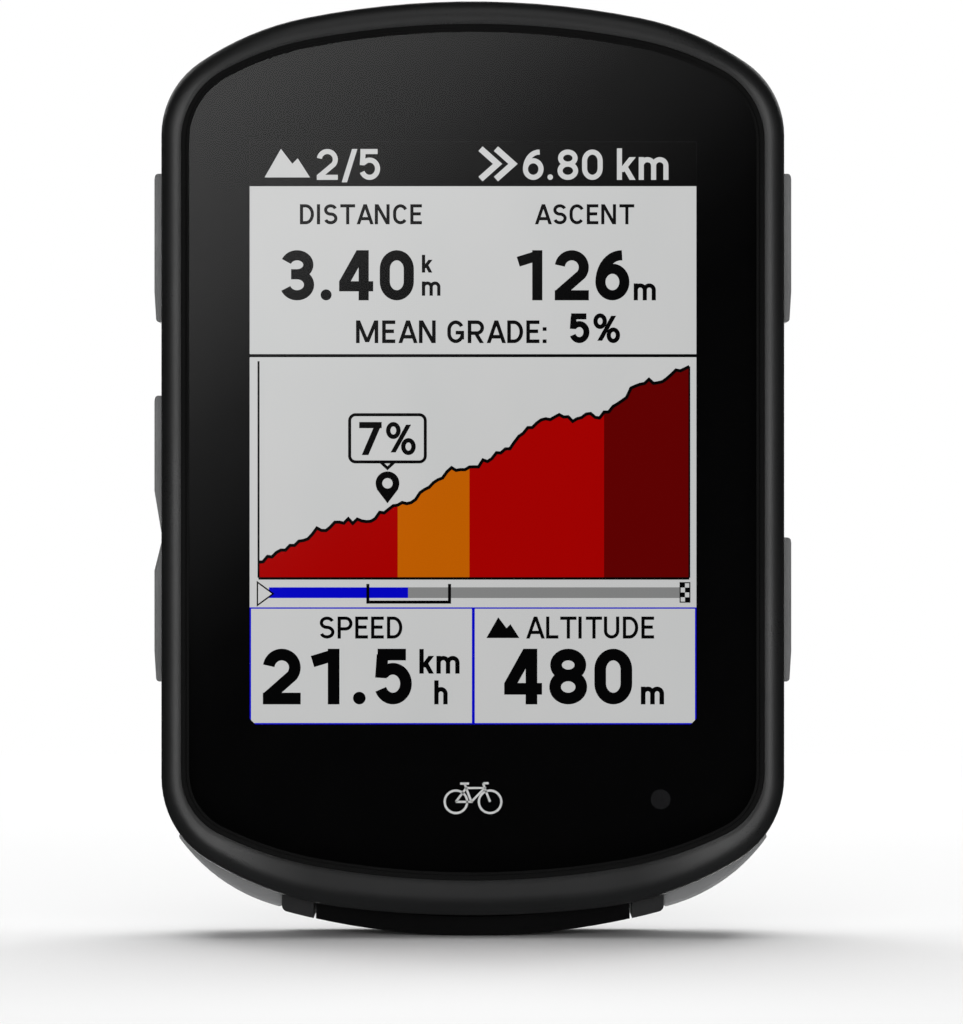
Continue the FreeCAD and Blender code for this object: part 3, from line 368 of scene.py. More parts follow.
def lit(name, colour):
    """Lit area of the display: a fine grid of pixels that glows instead of taking the lamps'
    light, painted light that is brighter at the upper left.
    """
    s = Shader(name)
    grid = s.add("ShaderNodeTexBrick", offset=0.0)
    for socket, value in (("Scale", 1 / PIXEL), ("Mortar Size", 0.06), ("Brick Width", 1.0),
                          ("Row Height", 1.0), ("Mortar Smooth", 0.6)):
        grid.inputs[socket].default_value = value
    turn = s.add("ShaderNodeMapping")
    turn.inputs["Rotation"].default_value = (math.pi / 2, 0, 0)
    s.join(s.place, turn, "Vector")
    s.join(turn.outputs["Vector"], grid, "Vector")
    shine = tuple(channel / GLASS_PASS for channel in colour)
    bright = s.mix(grid.outputs["Fac"], s.tint(shine, 0.012, 12 * MM),
                   tuple(channel * 0.95 for channel in shine))
    s.surface.inputs["Base Color"].default_value = (0, 0, 0, 1)
    s.surface.inputs["Specular IOR Level"].default_value = 0.0
    s.join(bright, s.surface, "Emission Color")
    # painted light: the glow is stronger towards the upper left, as if lit from there
    s.join(s.spread(s.diagonal(), 1.12, 0.99, from_low=-0.022, from_high=0.022), s.surface,
           "Emission Strength")
    s.join(s.spread(s.noise(0.5 * MM), 0.55, 0.65), s.surface, "Roughness")
    return s.material


def display():
    """Dark edge of the display panel, outside its lit area."""
    return moulded("display_edge", (0.010, 0.010, 0.011), 0.30, 0.3 * MM, 0.002 * MM)


def printed(name, colour):
    """Ink printed on the back of the glass."""
    s = Shader(name)
    s.join(s.tint(colour, 0.10, 3 * MM), s.surface, "Base Color")
    s.join(s.spread(s.noise(0.4 * MM), 0.55, 0.75), s.surface, "Roughness")
    s.surface.inputs["Specular IOR Level"].default_value = 0.0
    s.bump(s.noise(0.15 * MM), 0.001 * MM)
    return s.material


def paint_nodes():
    """Give every CAD node the material of its slot in the record."""
    makers = (bezel, board, button, cell, ceramic, chip, cover, display, flex, foam, housing,
              lens, light_guide, mount, screw, seal, sheet_metal, steel)
    made = {maker.__name__: maker() for maker in makers}
    for part in frame["record"]["subparts"]:
        mesh = nodes[part["node"]].data
        mesh.materials.clear()
        mesh.materials.append(made[part["material_slot"]])


# ------------------------------------------------------------ flat drawing

def ribbon(points, weight, closed=False):
    """Quads that follow a line at a constant weight, mitred at its corners."""
    count = len(points)
    sides = []
    for k, (x, y) in enumerate(points):
        before = points[k - 1] if k or closed else None
        after = points[(k + 1) % count] if k < count - 1 or closed else None
        runs = []
        if before:
            runs.append(Vector((x - before[0], y - before[1])).normalized())
        if after:
            runs.append(Vector((after[0] - x, after[1] - y)).normalized())
        along = sum(runs, Vector((0, 0))).normalized()
        across = Vector((-along.y, along.x))
        reach = weight / 2 / max(0.5, abs(across.dot(Vector((-runs[0].y, runs[0].x)))))
        sides.append(((x + across.x * reach, y + across.y * reach),
                      (x - across.x * reach, y - across.y * reach)))
    steps = range(count if closed else count - 1)
    return [[sides[k][0], sides[k][1], sides[(k + 1) % count][1], sides[(k + 1) % count][0]]
            for k in steps]


def bend(cx, cy, rx, ry, start, stop):
    """Points along part of an ellipse, angles in degrees anticlockwise."""
    steps = max(4, round(abs(stop - start) / 9))
    angles = [math.radians(start + (stop - start) * k / steps) for k in range(steps + 1)]
    return [(cx + rx * math.cos(a), cy + ry * math.sin(a)) for a in angles]


def ring(cx, cy, radius):
    return bend(cx, cy, radius, radius, 0, 350)


def slant(start, stop, weight):
    """Straight stroke whose two ends are level."""
    (x0, y0), (x1, y1) = start, stop
    half = weight / 2 * math.hypot(x1 - x0, y1 - y0) / abs(y1 - y0)
    return [(x0 - half, y0), (x0 + half, y0), (x1 + half, y1), (x1 - half, y1)]


def beam(x0, x1, y, weight):
    """Level stroke."""
    return [(x0, y - weight / 2), (x1, y - weight / 2), (x1, y + weight / 2),
            (x0, y + weight / 2)]


def oval(cx, rx, low, high, start=0, stop=360):
    """Tall loop between two heights: round ends joined by straight sides."""
    ry = min((high - low) / 2, rx * 1.15)
    loop = bend(cx, high - ry, rx, ry, 0, 180) + bend(cx, low + ry, rx, ry, 180, 360)
    loop = [spot for k, spot in enumerate(loop) if math.dist(spot, loop[k - 1]) > 0.001]
    first, last = len(loop) * start // 360, len(loop) * stop // 360
    return loop[first:last]


class Glyph:
    """Centre-line limits of one character of cap height 1, for a stroke weight."""

    def __init__(self, width, weight):
        self.width, self.weight = width, weight
        self.left, self.right = weight / 2, width - weight / 2
        self.low, self.high = weight / 2, 1 - weight / 2
        self.mid, self.reach = width / 2, width / 2 - weight / 2

    def stem(self, x, low=0.0, high=1.0):
        return slant((x, low), (x, high), self.weight)

    def bar(self, y, start=0.0, stop=None):
        return beam(start, self.width if stop is None else stop, y, self.weight)

    def slope(self, x0, y0, x1, y1):
        return slant((x0, y0), (x1, y1), self.weight)

    def line(self, points, closed=False):
        return ribbon(points, self.weight, closed)


def draw_0(g):
    return g.line(oval(g.mid, g.reach, g.low, g.high), True)


def draw_1(g):
    stem_x = g.width * 0.68
    flag = g.line([(g.width * 0.12, 0.77), (stem_x, g.high - 0.01)])
    return [g.stem(stem_x)] + flag


def draw_2(g):
    ry = g.reach
    top = bend(g.mid, g.high - ry, g.reach, ry, 172, -38)
    return g.line(top + [(g.weight * 0.42, g.weight * 0.62)]) + [g.bar(g.low)]


def draw_3(g):
    waist = 0.52
    upper, lower = (g.high - waist) / 2, (waist - g.low) / 2
    strokes = g.line(bend(g.mid, waist + upper, g.reach * 0.94, upper, 160, -90))
    strokes += g.line(bend(g.mid, waist - lower, g.reach, lower, 90, -160))
    return strokes + [g.bar(waist, g.mid - g.reach * 0.5, g.mid + 0.02)]


def draw_4(g):
    stem_x, bar_y = g.width * 0.72, 0.28
    return [g.stem(stem_x), g.bar(bar_y, 0, g.width),
            g.slope(g.weight * 0.58, bar_y + g.weight / 2, stem_x - g.weight * 0.12, 1.0)]


def draw_5(g):
    ry = (0.64 - g.low) / 2
    bowl = bend(g.mid, g.low + ry, g.reach, ry, 138, -158)
    back = [(g.left + 0.05, g.high), (g.left + 0.02, 0.475)]
    return g.line(back) + g.line(bowl) + [g.bar(g.high, g.left - 0.04, g.right)]


def draw_6(g):
    top = 0.63
    bowl = g.line(oval(g.mid, g.reach, g.low, top), True)
    heart_y, end_x = (g.low + top) / 2, g.right - 0.06
    return bowl + g.line(bend(end_x, heart_y, end_x - g.left, g.high - heart_y, 180, 88))


def draw_7(g):
    return [g.bar(g.high), g.slope(g.width * 0.26, 0, g.right - 0.02, g.high)]


def hoop(cx, cy, rx, ry):
    """Closed ellipse for ribbon()."""
    return bend(cx, cy, rx, ry, 0, 348)


def draw_8(g):
    waist = 0.52
    upper, lower = (g.high - waist) / 2, (waist - g.low) / 2
    return (g.line(hoop(g.mid, waist + upper, g.reach * 0.93, upper), True)
            + g.line(hoop(g.mid, waist - lower, g.reach, lower), True))


def draw_9(g):
    return [[(g.width - x, 1 - y) for x, y in quad] for quad in draw_6(g)]


def draw_point(g):
    return [ring(g.mid, g.mid, g.mid)]


def draw_colon(g):
    return [g.bar(g.low), g.bar(0.62)]


def draw_stroke(g):
    return [g.slope(g.left, -0.08, g.right, 1.0)]


def draw_percent(g):
    thin = Glyph(g.width, g.weight * 0.72)
    half, tall = 0.155, 0.19
    left = thin.line(hoop(thin.left + half, thin.high - tall, half, tall), True)
    right = thin.line(hoop(thin.right - half, thin.low + tall, half, tall), True)
    return left + right + [thin.slope(g.width * 0.24, 0.08, g.width * 0.76, 0.92)]


def draw_a(g):
    peak = g.mid
    return [g.slope(g.left, 0, peak, 1), g.slope(g.right, 0, peak, 1),
            g.bar(0.28, g.width * 0.2, g.width * 0.8)]


def draw_c(g):
    return g.line(oval(g.mid, g.reach, g.low, g.high, 32, 328))


def draw_d(g):
    bowl_x = g.right - 0.33
    bowl = bend(bowl_x, 0.5, g.right - bowl_x, g.high - 0.5, 90, -90)
    return g.line([(g.left, g.high)] + bowl + [(g.left, g.low)], True)


def draw_e(g):
    return [g.stem(g.left), g.bar(g.low), g.bar(g.high), g.bar(0.52, 0, g.width * 0.9)]


def draw_g(g):
    return (g.line(oval(g.mid, g.reach, g.low, g.high, 32, 350))
            + [g.stem(g.right, 0.16, 0.48), g.bar(0.46, g.mid, g.width)])


def draw_i(g):
    return [g.stem(g.mid)]


def draw_l(g):
    return [g.stem(g.left), g.bar(g.low)]


def draw_m(g):
    return [g.stem(g.left), g.stem(g.right), g.slope(g.mid, 0.04, g.left + 0.01, 1),
            g.slope(g.mid, 0.04, g.right - 0.01, 1)]


def draw_n(g):
    return [g.stem(g.left), g.stem(g.right), g.slope(g.right - 0.01, 0, g.left + 0.01, 1)]


def draw_p(g):
    ry = (g.high - 0.44) / 2
    bowl = bend(g.right - ry, g.high - ry, ry, ry, 90, -90)
    return [g.stem(g.left)] + g.line([(g.left, g.high)] + bowl + [(g.left, 0.44)])


def draw_r(g):
    return draw_p(g) + [g.slope(g.right - 0.02, 0, g.mid - 0.02, 0.46)]


def draw_s(g):
    waist = 0.51
    upper, lower = (g.high - waist) / 2, (waist - g.low) / 2
    top = bend(g.mid, waist + upper, g.reach * 0.96, upper, 20, 262)
    return g.line(top + bend(g.mid, waist - lower, g.reach, lower, 82, -160))


def draw_t(g):
    return [g.bar(g.high), g.stem(g.mid)]


def draw_u(g):
    return g.line([(g.left, 1)] + bend(g.mid, g.low + g.reach, g.reach, g.reach, 180, 360)
                  + [(g.right, 1)])


X_HEIGHT = 0.75


def draw_small_k(g):
    return [g.stem(g.left, 0, 1.04), g.slope(g.left + 0.04, 0.26, g.right, X_HEIGHT),
            g.slope(g.right, 0, g.left + 0.17, 0.45)]


def arch(g, left, right):
    """Round shoulder and right leg of an n-shaped letter."""
    reach = (right - left) / 2
    top = bend(left + reach, X_HEIGHT - g.weight / 2 - reach, reach, reach, 165, 0)
    return g.line(top + [(right, 0)])


def draw_small_m(g):
    return ([g.stem(g.left, 0, X_HEIGHT)] + arch(g, g.left, g.mid) + arch(g, g.mid, g.right))


def draw_small_h(g):
    return [g.stem(g.left, 0, 1.04)] + arch(g, g.left, g.right)


# character: drawing function, ink width, gap that follows it
DIGIT_WIDTH, DIGIT_GAP = 0.68, 0.13
GLYPHS = {digit: (draw, DIGIT_WIDTH, DIGIT_GAP) for digit, draw in zip("0123456789", (
    draw_0, draw_1, draw_2, draw_3, draw_4, draw_5, draw_6, draw_7, draw_8, draw_9))}
GLYPHS.update({
    ".": (draw_point, None, 0.15), ":": (draw_colon, None, 0.15), "/": (draw_stroke, 0.50, 0.06),
    "%": (draw_percent, 0.90, 0.10), "A": (draw_a, 0.84, 0.06), "C": (draw_c, 0.74, 0.12),
    "D": (draw_d, 0.70, 0.14), "E": (draw_e, 0.58, 0.14), "G": (draw_g, 0.74, 0.16),
    "I": (draw_i, None, 0.18), "L": (draw_l, 0.56, 0.08), "M": (draw_m, 0.98, 0.17),
    "N": (draw_n, 0.74, 0.17), "P": (draw_p, 0.68, 0.12), "R": (draw_r, 0.72, 0.12),
    "S": (draw_s, 0.68, 0.14), "T": (draw_t, 0.74, 0.08), "U": (draw_u, 0.70, 0.16),
    "k": (draw_small_k, 0.60, 0.12), "m": (draw_small_m, 0.98, 0.14),
    "h": (draw_small_h, 0.58, 0.14)})
SPACE = 0.34


def set_text(words, weight):
    """(total width, quads) of a text line of cap height 1."""
    pen, gap, quads = 0.0, 0.0, []
    for letter in words:
        pen += gap
        if letter == " ":
            pen, gap = pen + SPACE, 0.0
            continue
        draw, width, gap = GLYPHS[letter]
        width = width or weight * 1.08
        for quad in draw(Glyph(width, weight)):
            quads.append([(x + pen, y) for x, y in quad])
        pen += width
    return pen, quads


# -------------------------------------------------------------- the screen

LAYER_STEP = 0.04 * MM
FILM = 0.015 * MM
panel_low, panel_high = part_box("display_panel")
lens_low, lens_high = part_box("cover_lens")
SCREEN_W, SCREEN_H = 40.54, 52.86
SCREEN_X = panel_low.x / MM + 1.22
SCREEN_Z = panel_high.z / MM - 1.29

PAPER = (0.540, 0.542, 0.540)
INK = (0.0012, 0.0012, 0.0013)
LAYERS = {
    # name: depth order from the back, colour
    "field": (0, PAPER),
    "header": (1, (0.0018, 0.0018, 0.0018)),
    "band_red": (1, (0.345, 0.0004, 0.0002)),
    "band_orange": (1, (0.490, 0.105, 0.0003)),
    "band_dark": (1, (0.112, 0.0003, 0.0003)),
    "bar_grey": (1, (0.216, 0.217, 0.216)),
    "blue": (2, (0.0012, 0.0016, 0.500)),
    "ink": (3, INK),
    "paper": (4, PAPER),
    "ink_top": (5, INK),
}


def flat_piece(name, polygons, depth, material):
    """Thin film from polygons of (x, z) points in metres, its front at a Y depth."""
    mesh = bpy.data.meshes.new(name)
    made = bmesh.new()
    for polygon in polygons:
        area = sum(a[0] * b[1] - b[0] * a[1]
                   for a, b in zip(polygon, polygon[1:] + polygon[:1]))
        ordered = polygon if area > 0 else polygon[::-1]
        made.faces.new([made.verts.new((x, depth, z)) for x, z in ordered])
    made.to_mesh(mesh)
    made.free()
    mesh.materials.append(material)
    piece = bpy.data.objects.new(name, mesh)
    bpy.context.scene.collection.objects.link(piece)
    thick = piece.modifiers.new("film", "SOLIDIFY")
    thick.thickness = FILM
    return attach(piece, "case")


class Screen:
    """Collects flat shapes by layer; u runs right and v runs down, in millimetres."""

    def __init__(self):
        self.shapes = {name: [] for name in LAYERS}

    def shape(self, layer, points):
        self.shapes[layer].append(points)

    def box(self, layer, u0, v0, u1, v1):
        self.shape(layer, [(u0, v0), (u1, v0), (u1, v1), (u0, v1)])

    def line(self, layer, points, weight, closed=False):
        self.shapes[layer] += ribbon(points, weight, closed)

    def outline(self, layer, u0, v0, u1, v1, weight):
        """Thin frame centred on the edges of a box."""
        self.line(layer, [(u0, v0), (u1, v0), (u1, v1), (u0, v1)], weight, closed=True)

    def text(self, layer, words, u, v, cap, weight, centred=False):
        """Text from u, or centred on u, with its baseline at v."""
        width, quads = set_text(words, weight / cap)
        start = u - width * cap / 2 if centred else u
        for quad in quads:
            self.shape(layer, [(start + x * cap, v - y * cap) for x, y in quad])

    def finish(self):
        for name, (order, colour) in LAYERS.items():
            depth = panel_low.y - FILM - (order + 1) * LAYER_STEP
            polygons = [[((SCREEN_X + u) * MM, (SCREEN_Z - v) * MM) for u, v in points]
                        for points in self.shapes[name]]
            flat_piece("screen_" + name, polygons, depth, lit("lit_" + name, colour))


def mountain(screen, layer, u, v, size):
    """Two peaks standing on the line v."""
    outline = [(0, 0), (0.36, 0.63), (0.61, 0.30), (0.73, 0.42), (1, 0)]
    screen.shape(layer, [(u + x * size, v - y * size) for x, y in outline])


def header(screen):
    """Dark bar with a counter at the left and a distance at the right."""
    bottom, base = 4.02, 3.45
    screen.box("header", 0, 0, SCREEN_W, bottom)
    mountain(screen, "paper", 1.36, 3.23, 4.12)
    screen.text("paper", "2/5", 6.1, base, 2.8, 0.46)
    for start in (20.95, 22.35):
        screen.line("paper", [(start, 0.62), (start + 1.55, 2.0), (start, 3.38)], 0.56)
    screen.text("paper", "6.80 km", 24.8, base, 2.75, 0.46)


def data_fields(screen):
    """Two numbers with their captions, and a line with the mean grade."""
    caption, base, cap, weight = 7.48, 14.38, 4.55, 0.92
    screen.text("ink", "DISTANCE", 10.1, caption, 1.82, 0.29, centred=True)
    screen.text("ink", "ASCENT", 30.4, caption, 1.82, 0.29, centred=True)
    screen.text("ink", "3.40", 2.76, base, cap, weight)
    screen.text("ink", "k", 15.63, 11.86, 1.55, 0.30)
    screen.text("ink", "m", 15.63, 13.96, 1.72, 0.30)
    screen.text("ink", "126", 24.0, base, cap, weight)
    screen.text("ink", "m", 34.85, base, 2.05, 0.38)
    screen.text("ink", "MEAN GRADE:", 18.3, 18.26, 2.06, 0.33, centred=True)
    screen.text("ink", "5%", 29.0, 18.26, 2.7, 0.55)
    screen.box("ink", 0, 19.26, SCREEN_W, 19.54)


CHART_LEFT, CHART_RIGHT, CHART_BASE, CHART_TALL = 0.81, 39.9, 39.55, 19.28
CLIMB = [(0, 0.08), (0.13, 0.23), (0.24, 0.27), (0.34, 0.36), (0.45, 0.51), (0.50, 0.505),
         (0.66, 0.74), (0.79, 0.75), (0.88, 0.93), (0.95, 0.925), (1, 1.0)]
BANDS = [("band_red", 0, 0.327), ("band_orange", 0.327, 0.488), ("band_red", 0.488, 0.803),
         ("band_dark", 0.803, 1)]
CHART_STEPS, CHART_STEP = 96, 0.019


def climb_height(share):
    """Height of the route at a share of its length, before its small steps."""
    for (x0, y0), (x1, y1) in zip(CLIMB, CLIMB[1:]):
        if share <= x1:
            return y0 + (y1 - y0) * (share - x0) / (x1 - x0)
    return CLIMB[-1][1]


def chart(screen):
    """Elevation profile in coloured bands with a dark outline."""
    steps = random.Random(7)
    profile, drift = [], 0.0
    for k in range(CHART_STEPS + 1):
        share = k / CHART_STEPS
        drift = drift * 0.55 + steps.uniform(-CHART_STEP, CHART_STEP)
        profile.append((CHART_LEFT + share * (CHART_RIGHT - CHART_LEFT),
                        CHART_BASE - CHART_TALL * (climb_height(share) + drift)))
    for layer, start, stop in BANDS:
        first, last = round(start * CHART_STEPS), round(stop * CHART_STEPS)
        for (u0, v0), (u1, v1) in zip(profile[first:last], profile[first + 1:last + 1]):
            screen.shape(layer, [(u0, v0), (u1, v1), (u1, CHART_BASE), (u0, CHART_BASE)])
    screen.line("ink", profile, 0.29)
    screen.box("ink", CHART_LEFT - 0.09, 19.9, CHART_LEFT + 0.09, CHART_BASE)
    screen.box("ink", CHART_RIGHT - 0.08, profile[-1][1], CHART_RIGHT + 0.08, CHART_BASE)
    screen.box("ink", CHART_LEFT, CHART_BASE - 0.05, CHART_RIGHT, CHART_BASE + 0.17)


def rounded(u0, v0, u1, v1, radius):
    """Outline of a box with round corners."""
    corners = ((u1 - radius, v1 - radius, 0), (u0 + radius, v1 - radius, 90),
               (u0 + radius, v0 + radius, 180), (u1 - radius, v0 + radius, 270))
    points = []
    for u, v, start in corners:
        points += bend(u, v, radius, radius, start, start + 90)
    return points


def bubble(screen):
    """Callout with the grade at the marker, and the marker pin below it."""
    u0, v0, u1, v1, tip_u, tip_v = 9.08, 24.76, 15.94, 29.04, 12.51, 29.62
    body, notch, weight = rounded(u0, v0, u1, v1, 0.54), 0.62, 0.28
    screen.shape("paper", body)
    screen.line("ink_top", body, weight, closed=True)
    screen.line("ink_top", [(tip_u - notch, v1), (tip_u, tip_v), (tip_u + notch, v1)], weight)
    screen.text("ink_top", "7%", tip_u, 28.42, 3.0, 0.56, centred=True)
    pin_v, outer, inner, point_v = 30.98, 1.08, 0.47, 32.8
    screen.shape("ink", ring(tip_u, pin_v, outer))
    screen.shape("ink", [(tip_u - outer * 0.93, pin_v + 0.5), (tip_u + outer * 0.93, pin_v + 0.5),
                         (tip_u, point_v)])
    screen.shape("paper", ring(tip_u, pin_v, inner))


def progress(screen):
    """Bar of the distance done, with a start arrow, a bracket and a chequered flag."""
    top, bottom, middle = 40.42, 41.39, 41.0
    screen.box("blue", 1.76, top, 14.38, bottom)
    screen.box("bar_grey", 14.38, top, 39.1, bottom)
    arrow = [(0.71, 39.95), (0.71, 42.05), (2.14, middle)]
    screen.shape("paper", arrow)
    screen.line("ink_top", arrow, 0.14, closed=True)
    screen.line("ink", [(10.73, 40.11), (10.73, 41.76), (18.14, 41.76), (18.14, 40.11)], 0.28)
    rows, columns, flag_u, flag_v, square = 4, 2, 39.06, 40.0, 0.44
    flag_end_u, flag_end_v = flag_u + columns * square, flag_v + rows * square
    screen.box("paper", flag_u, flag_v, flag_end_u, flag_end_v)
    for row in range(rows):
        for column in range(columns):
            if (row + column) % 2 == 0:
                u, v = flag_u + column * square, flag_v + row * square
                screen.box("ink_top", u, v, u + square, v + square)
    screen.outline("ink_top", flag_u, flag_v, flag_end_u, flag_end_v, 0.10)


def lower_fields(screen):
    """Speed and altitude below the chart, in thin blue frames."""
    top, middle, thin = 42.3, 20.3, 0.13
    screen.box("blue", 0, top - thin / 2, SCREEN_W, top + thin / 2)
    screen.box("blue", middle - thin, top, middle + thin, SCREEN_H)
    for u in (0, SCREEN_W - thin):
        screen.box("blue", u, top, u + thin, SCREEN_H)
    screen.box("blue", 0, SCREEN_H - thin, SCREEN_W, SCREEN_H)
    caption, base, cap, weight = 45.07, 51.04, 5.05, 1.06
    screen.text("ink", "SPEED", 10.1, caption, 2.0, 0.30, centred=True)
    screen.text("ink", "21.5", 1.2, base, cap, weight)
    screen.text("ink", "km", 15.4, 48.25, 2.15, 0.40)
    screen.text("ink", "h", 16.75, base, 2.1, 0.40)
    mountain(screen, "ink", 21.48, 45.02, 3.0)
    screen.text("ink", "ALTITUDE", 25.1, caption, 2.0, 0.30)
    screen.text("ink", "480", 23.1, base, cap, weight)
    screen.text("ink", "m", 35.5, base, 2.15, 0.42)


def draw_screen():
    screen = Screen()
    screen.box("field", 0, 0, SCREEN_W, SCREEN_H)
    for part in (header, data_fields, chart, bubble, progress, lower_fields):
        part(screen)
    screen.finish()


# --------------------------------------------------- print behind the glass

MASK_DEPTH = lens_high.y - 0.05 * MM
SYMBOL_DEPTH = MASK_DEPTH - 0.05 * MM
SENSOR_WINDOW = 0.9 * MM


def glass_outline(inset):
    """Points round the back edge of the glass, moved inward."""
    same_plane, digits = 0.001 * MM, 7
    edge = {(round(v.co.x, digits), round(v.co.z, digits))
            for v in nodes["cover_lens"].data.vertices
            if abs(v.co.y - lens_high.y) < same_plane}
    middle = (lens_low + lens_high) / 2
    points = sorted(edge, key=lambda p: math.atan2(p[1] - middle.z, p[0] - middle.x))
    moved = []
    for k, (x, z) in enumerate(points):
        before, after = Vector(points[k - 1]), Vector(points[(k + 1) % len(points)])
        along = (after - before).normalized()
        moved.append((x - along.y * inset, z + along.x * inset))
    return moved


def window_outline():
    """Opening of the print over the lit area, with its two lower corners cut."""
    left, top = SCREEN_X * MM, SCREEN_Z * MM
    right, low, corner = left + SCREEN_W * MM, top - SCREEN_H * MM, 0.55 * MM
    return [(left, top), (right, top), (right, low + corner), (right - corner, low),
            (left + corner, low), (left, low + corner)]


def sensor_outline():
    low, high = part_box("light_sensor")
    middle = (low + high) / 2
    return ring(middle.x, middle.z, SENSOR_WINDOW)


def holed_polygons(loops):
    """Triangles that fill the first loop and leave the others open."""
    made = bmesh.new()
    for loop in loops:
        verts = [made.verts.new((x, 0, z)) for x, z in loop]
        for k, vert in enumerate(verts):
            made.edges.new((verts[k - 1], vert))
    bmesh.ops.triangle_fill(made, use_beauty=True, use_dissolve=False, edges=made.edges[:])
    polygons = [[(v.co.x, v.co.z) for v in face.verts] for face in made.faces]
    made.free()
    return polygons


def print_mask():
    """Black border printed behind the glass, and the smoked window of the sensor."""
    edge_gap = 0.03 * MM
    loops = [glass_outline(edge_gap), window_outline(), sensor_outline()]
    flat_piece("glass_print", holed_polygons(loops), MASK_DEPTH,
               printed("ink_black", (0.0007, 0.0007, 0.00075)))
    flat_piece("sensor_window", [sensor_outline()], MASK_DEPTH,
               printed("ink_smoked", (0.0055, 0.0055, 0.0058)))


def seal_lip_and_seam_shade():
    """Thin dark ring over the edge of the glass: partly the lip of the lens seal, partly painted
    shadow of the seam round the glass.
    """
    lip_width = 0.26 * MM
    loops = [glass_outline(0.0), glass_outline(lip_width)]
    flat_piece("seal_lip_and_seam_shade", holed_polygons(loops), lens_low.y - FILM,
               bpy.data.materials["seal_rubber"])


def print_symbol():
    """Small bicycle symbol below the screen."""
    size, weight = 1.02 * MM, 0.20 * MM
    window_low = (SCREEN_Z - SCREEN_H) * MM
    centre_x, centre_z = SCREEN_X * MM + SCREEN_W * MM / 2, window_low - 7.0 * MM
    spokes = 1.55 * MM
    rear, fore = (centre_x - spokes, centre_z), (centre_x + spokes, centre_z)
    crank = (centre_x - 0.15 * MM, centre_z)
    seat = (centre_x - 0.62 * MM, centre_z + 1.25 * MM)
    head = (centre_x + 1.05 * MM, centre_z + 1.25 * MM)
    quads = []
    for wheel in (rear, fore):
        quads += ribbon(ring(*wheel, size), weight, closed=True)
    quads += ribbon([rear, seat, head, crank], weight)
    quads += ribbon([seat, crank, rear], weight)
    bar_end = (head[0] - 0.12 * MM, head[1] + 0.42 * MM)
    quads += ribbon([fore, head, bar_end], weight)
    quads += ribbon([bar_end, (bar_end[0] + 0.48 * MM, bar_end[1] + 0.02 * MM)], weight)
    quads += ribbon([seat, (seat[0] - 0.13 * MM, seat[1] + 0.36 * MM)], weight)
    saddle = (seat[0] - 0.15 * MM, seat[1] + 0.40 * MM)
    quads.append(beam(saddle[0] - 0.40 * MM, saddle[0] + 0.40 * MM, saddle[1], weight))
    flat_piece("glass_symbol", quads, SYMBOL_DEPTH, printed("ink_silver", (0.34, 0.34, 0.34)))


# ----------------------------------------------------- camera, light, floor

def add_camera():
    """Straight front view, a little below the middle of the object."""
    middle = (cad_box[0] + cad_box[1]) / 2
    data = bpy.data.cameras.new("camera")
    data.lens, data.sensor_width = 232.3, 36
    data.clip_start, data.clip_end = 0.01, 20
    camera = bpy.data.objects.new("camera", data)
    camera.location = (middle.x + 0.79 * MM, -0.6137, middle.z - 3.87 * MM)
    camera.rotation_euler = (math.pi / 2, 0, 0)
    bpy.context.scene.collection.objects.link(camera)
    bpy.context.scene.camera = camera


def add_light(name, place, size, radiance, mirrored=True, diffuse=True):
    """Soft rectangular light aimed at the object, for shine, for matt faces or for both."""
    data = bpy.data.lights.new(name, "AREA")
    data.shape = "RECTANGLE"
    data.size, data.size_y = size
    data.energy = radiance * math.pi * size[0] * size[1]
    light = bpy.data.objects.new(name, data)
    bpy.context.scene.collection.objects.link(light)
    light.location = place
    light.rotation_euler = (-light.location).to_track_quat("-Z", "Y").to_euler()
    light.visible_glossy = mirrored
    light.visible_diffuse = diffuse


def stage_plane(name, corners, material):
    mesh = bpy.data.meshes.new(name)
    mesh.from_pydata(corners, [], [(0, 1, 2, 3)])
    mesh.materials.append(material)
    plane = bpy.data.objects.new(name, mesh)
    bpy.context.scene.collection.objects.link(plane)
    return plane


def floor_paint():
    """Pale matt floor near the object that turns into glowing white further out."""
    s = Shader("floor_paint")
    away = s.add("ShaderNodeVectorMath", operation="LENGTH")
    s.join(s.place, away, 0)
    far = s.spread(away.outputs["Value"], 0, 1, from_low=0.16, from_high=0.45)
    s.join(s.mix(far, s.tint((0.86, 0.86, 0.86), 0.01, 0.3), (0, 0, 0)), s.surface,
           "Base Color")
    s.surface.inputs["Emission Color"].default_value = (1, 1, 1, 1)
    s.join(far, s.surface, "Emission Strength")
    s.join(s.spread(s.noise(0.05), 0.85, 0.95), s.surface, "Roughness")
    s.surface.inputs["Specular IOR Level"].default_value = 0.0
    return s.material


def card_glow():
    """Glow of the reflector card: bright at its upper left, fading to the lower right."""
    s = Shader("card_glow")
    share = s.spread(s.diagonal(), 0, 1, from_low=-0.23, from_high=0.0)
    levels = [(0.0, 1.60), (0.09, 1.35), (0.40, 0.78), (0.60, 0.32), (0.83, 0.075),
              (0.91, 0.03), (1.0, 0.010)]
    shade = s.ramp(share, [(position, (level,) * 3) for position, level in levels])
    glow = s.add("ShaderNodeEmission")
    s.join(shade, glow, "Color")
    s.tree.nodes.remove(s.surface)
    s.join(glow.outputs["Emission"], s.output, "Surface")
    return s.material


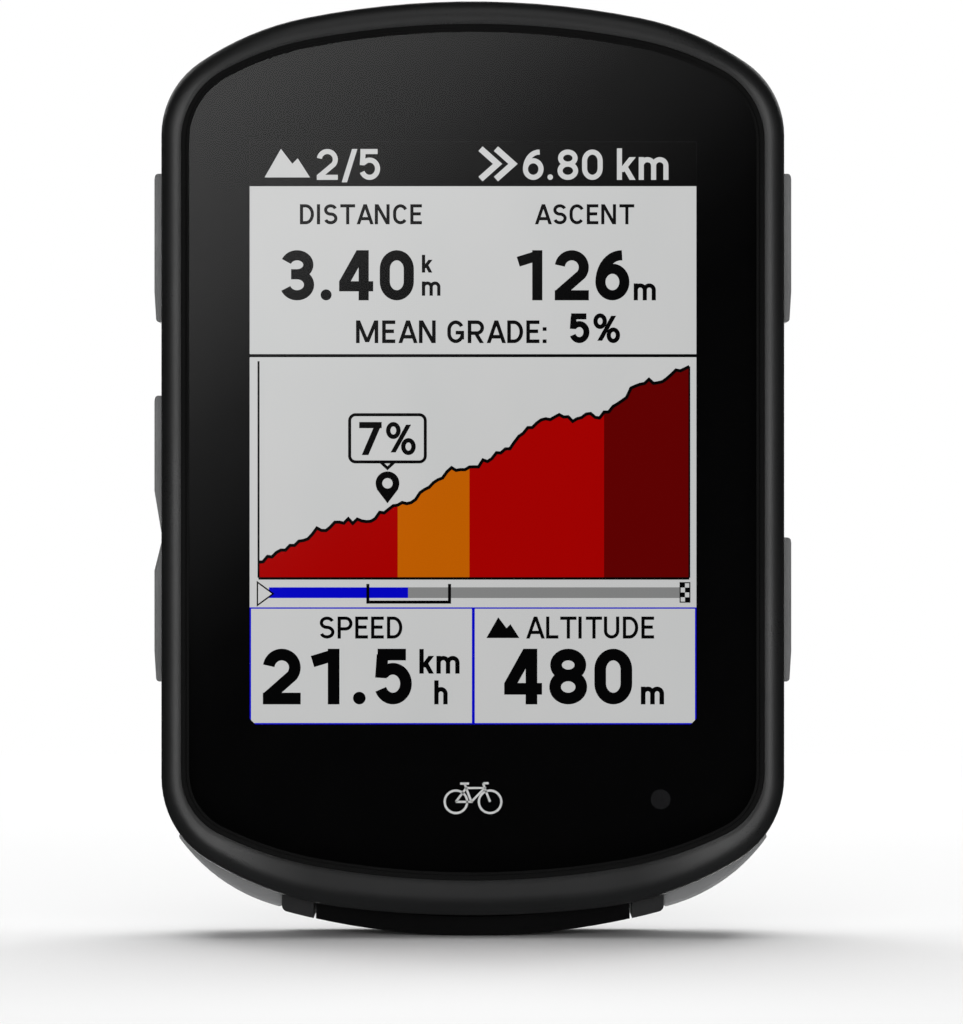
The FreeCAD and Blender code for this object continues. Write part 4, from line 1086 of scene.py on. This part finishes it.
def add_stage():
    floor_z, far = cad_box[0].z, 6.0
    floor = stage_plane("floor", [(-far, -far, floor_z), (far, -far, floor_z),
                                  (far, far, floor_z), (-far, far, floor_z)], floor_paint())
    floor.visible_glossy = False
    floor.visible_shadow = False
    card_y, half_w, low, high = -1.5, 0.25, -0.30, 0.32
    card = stage_plane("card", [(half_w, card_y, low), (-half_w, card_y, low),
                                (-half_w, card_y, high), (half_w, card_y, high)],
                       card_glow())
    card.visible_camera = False


def add_world():
    """White studio surroundings to the eye, and a dimmer even light on the object."""
    world = bpy.data.worlds.new("studio")
    bpy.context.scene.world = world
    world.use_nodes = True
    tree = world.node_tree
    back = tree.nodes["Background"]
    rays = tree.nodes.new("ShaderNodeLightPath")
    level = tree.nodes.new("ShaderNodeMapRange")
    level.inputs["To Min"].default_value = 0.02
    level.inputs["To Max"].default_value = 1.0
    tree.links.new(rays.outputs["Is Camera Ray"], level.inputs["Value"])
    tree.links.new(level.outputs["Result"], back.inputs["Strength"])
    back.inputs["Color"].default_value = (1, 1, 1, 1)


def around(azimuth, height, distance=1.5):
    """Point round the object: azimuth in degrees from the camera, towards its right."""
    turn, lift = math.radians(azimuth), math.radians(height)
    level = distance * math.cos(lift)
    return (level * math.sin(turn), -level * math.cos(turn), distance * math.sin(lift))


def add_lights():
    """Soft boxes either side of the camera, overhead and behind."""
    for azimuth, width, radiance in ((14, 0.28, 3.0), (26, 0.34, 3.4), (42, 0.42, 0.7),
                                     (62, 0.50, 0.2)):
        for side in (-1, 1):
            add_light("light_side_%d" % (side * azimuth), around(side * azimuth, 0),
                      (width, 0.9), radiance)
    for side in (-1, 1):
        add_light("light_low_%d" % side, around(side * 26, -62), (0.5, 0.5), 20.0,
                  mirrored=False)
        add_light("light_back_%d" % side, around(side * 145, 25), (0.5, 0.8), 1.6)
    add_light("light_rear", around(180, 0), (0.8, 1.5), 2.4, diffuse=False)
    add_light("light_high", around(0, 40), (0.9, 0.5), 0.8)
    add_light("light_top", around(0, 62), (0.9, 0.6), 1.1)
    add_light("light_floor", around(180, 70, 1.28), (1.2, 1.2), 4.4, mirrored=False)
    add_light("light_front", around(0, 0, 1.4), (0.6, 0.6), 8.0, mirrored=False)


bpy.context.scene.view_settings.view_transform = "Standard"
add_camera()
add_world()
add_stage()
add_lights()
paint_nodes()
draw_screen()
print_mask()
print_symbol()
seal_lip_and_seam_shade()
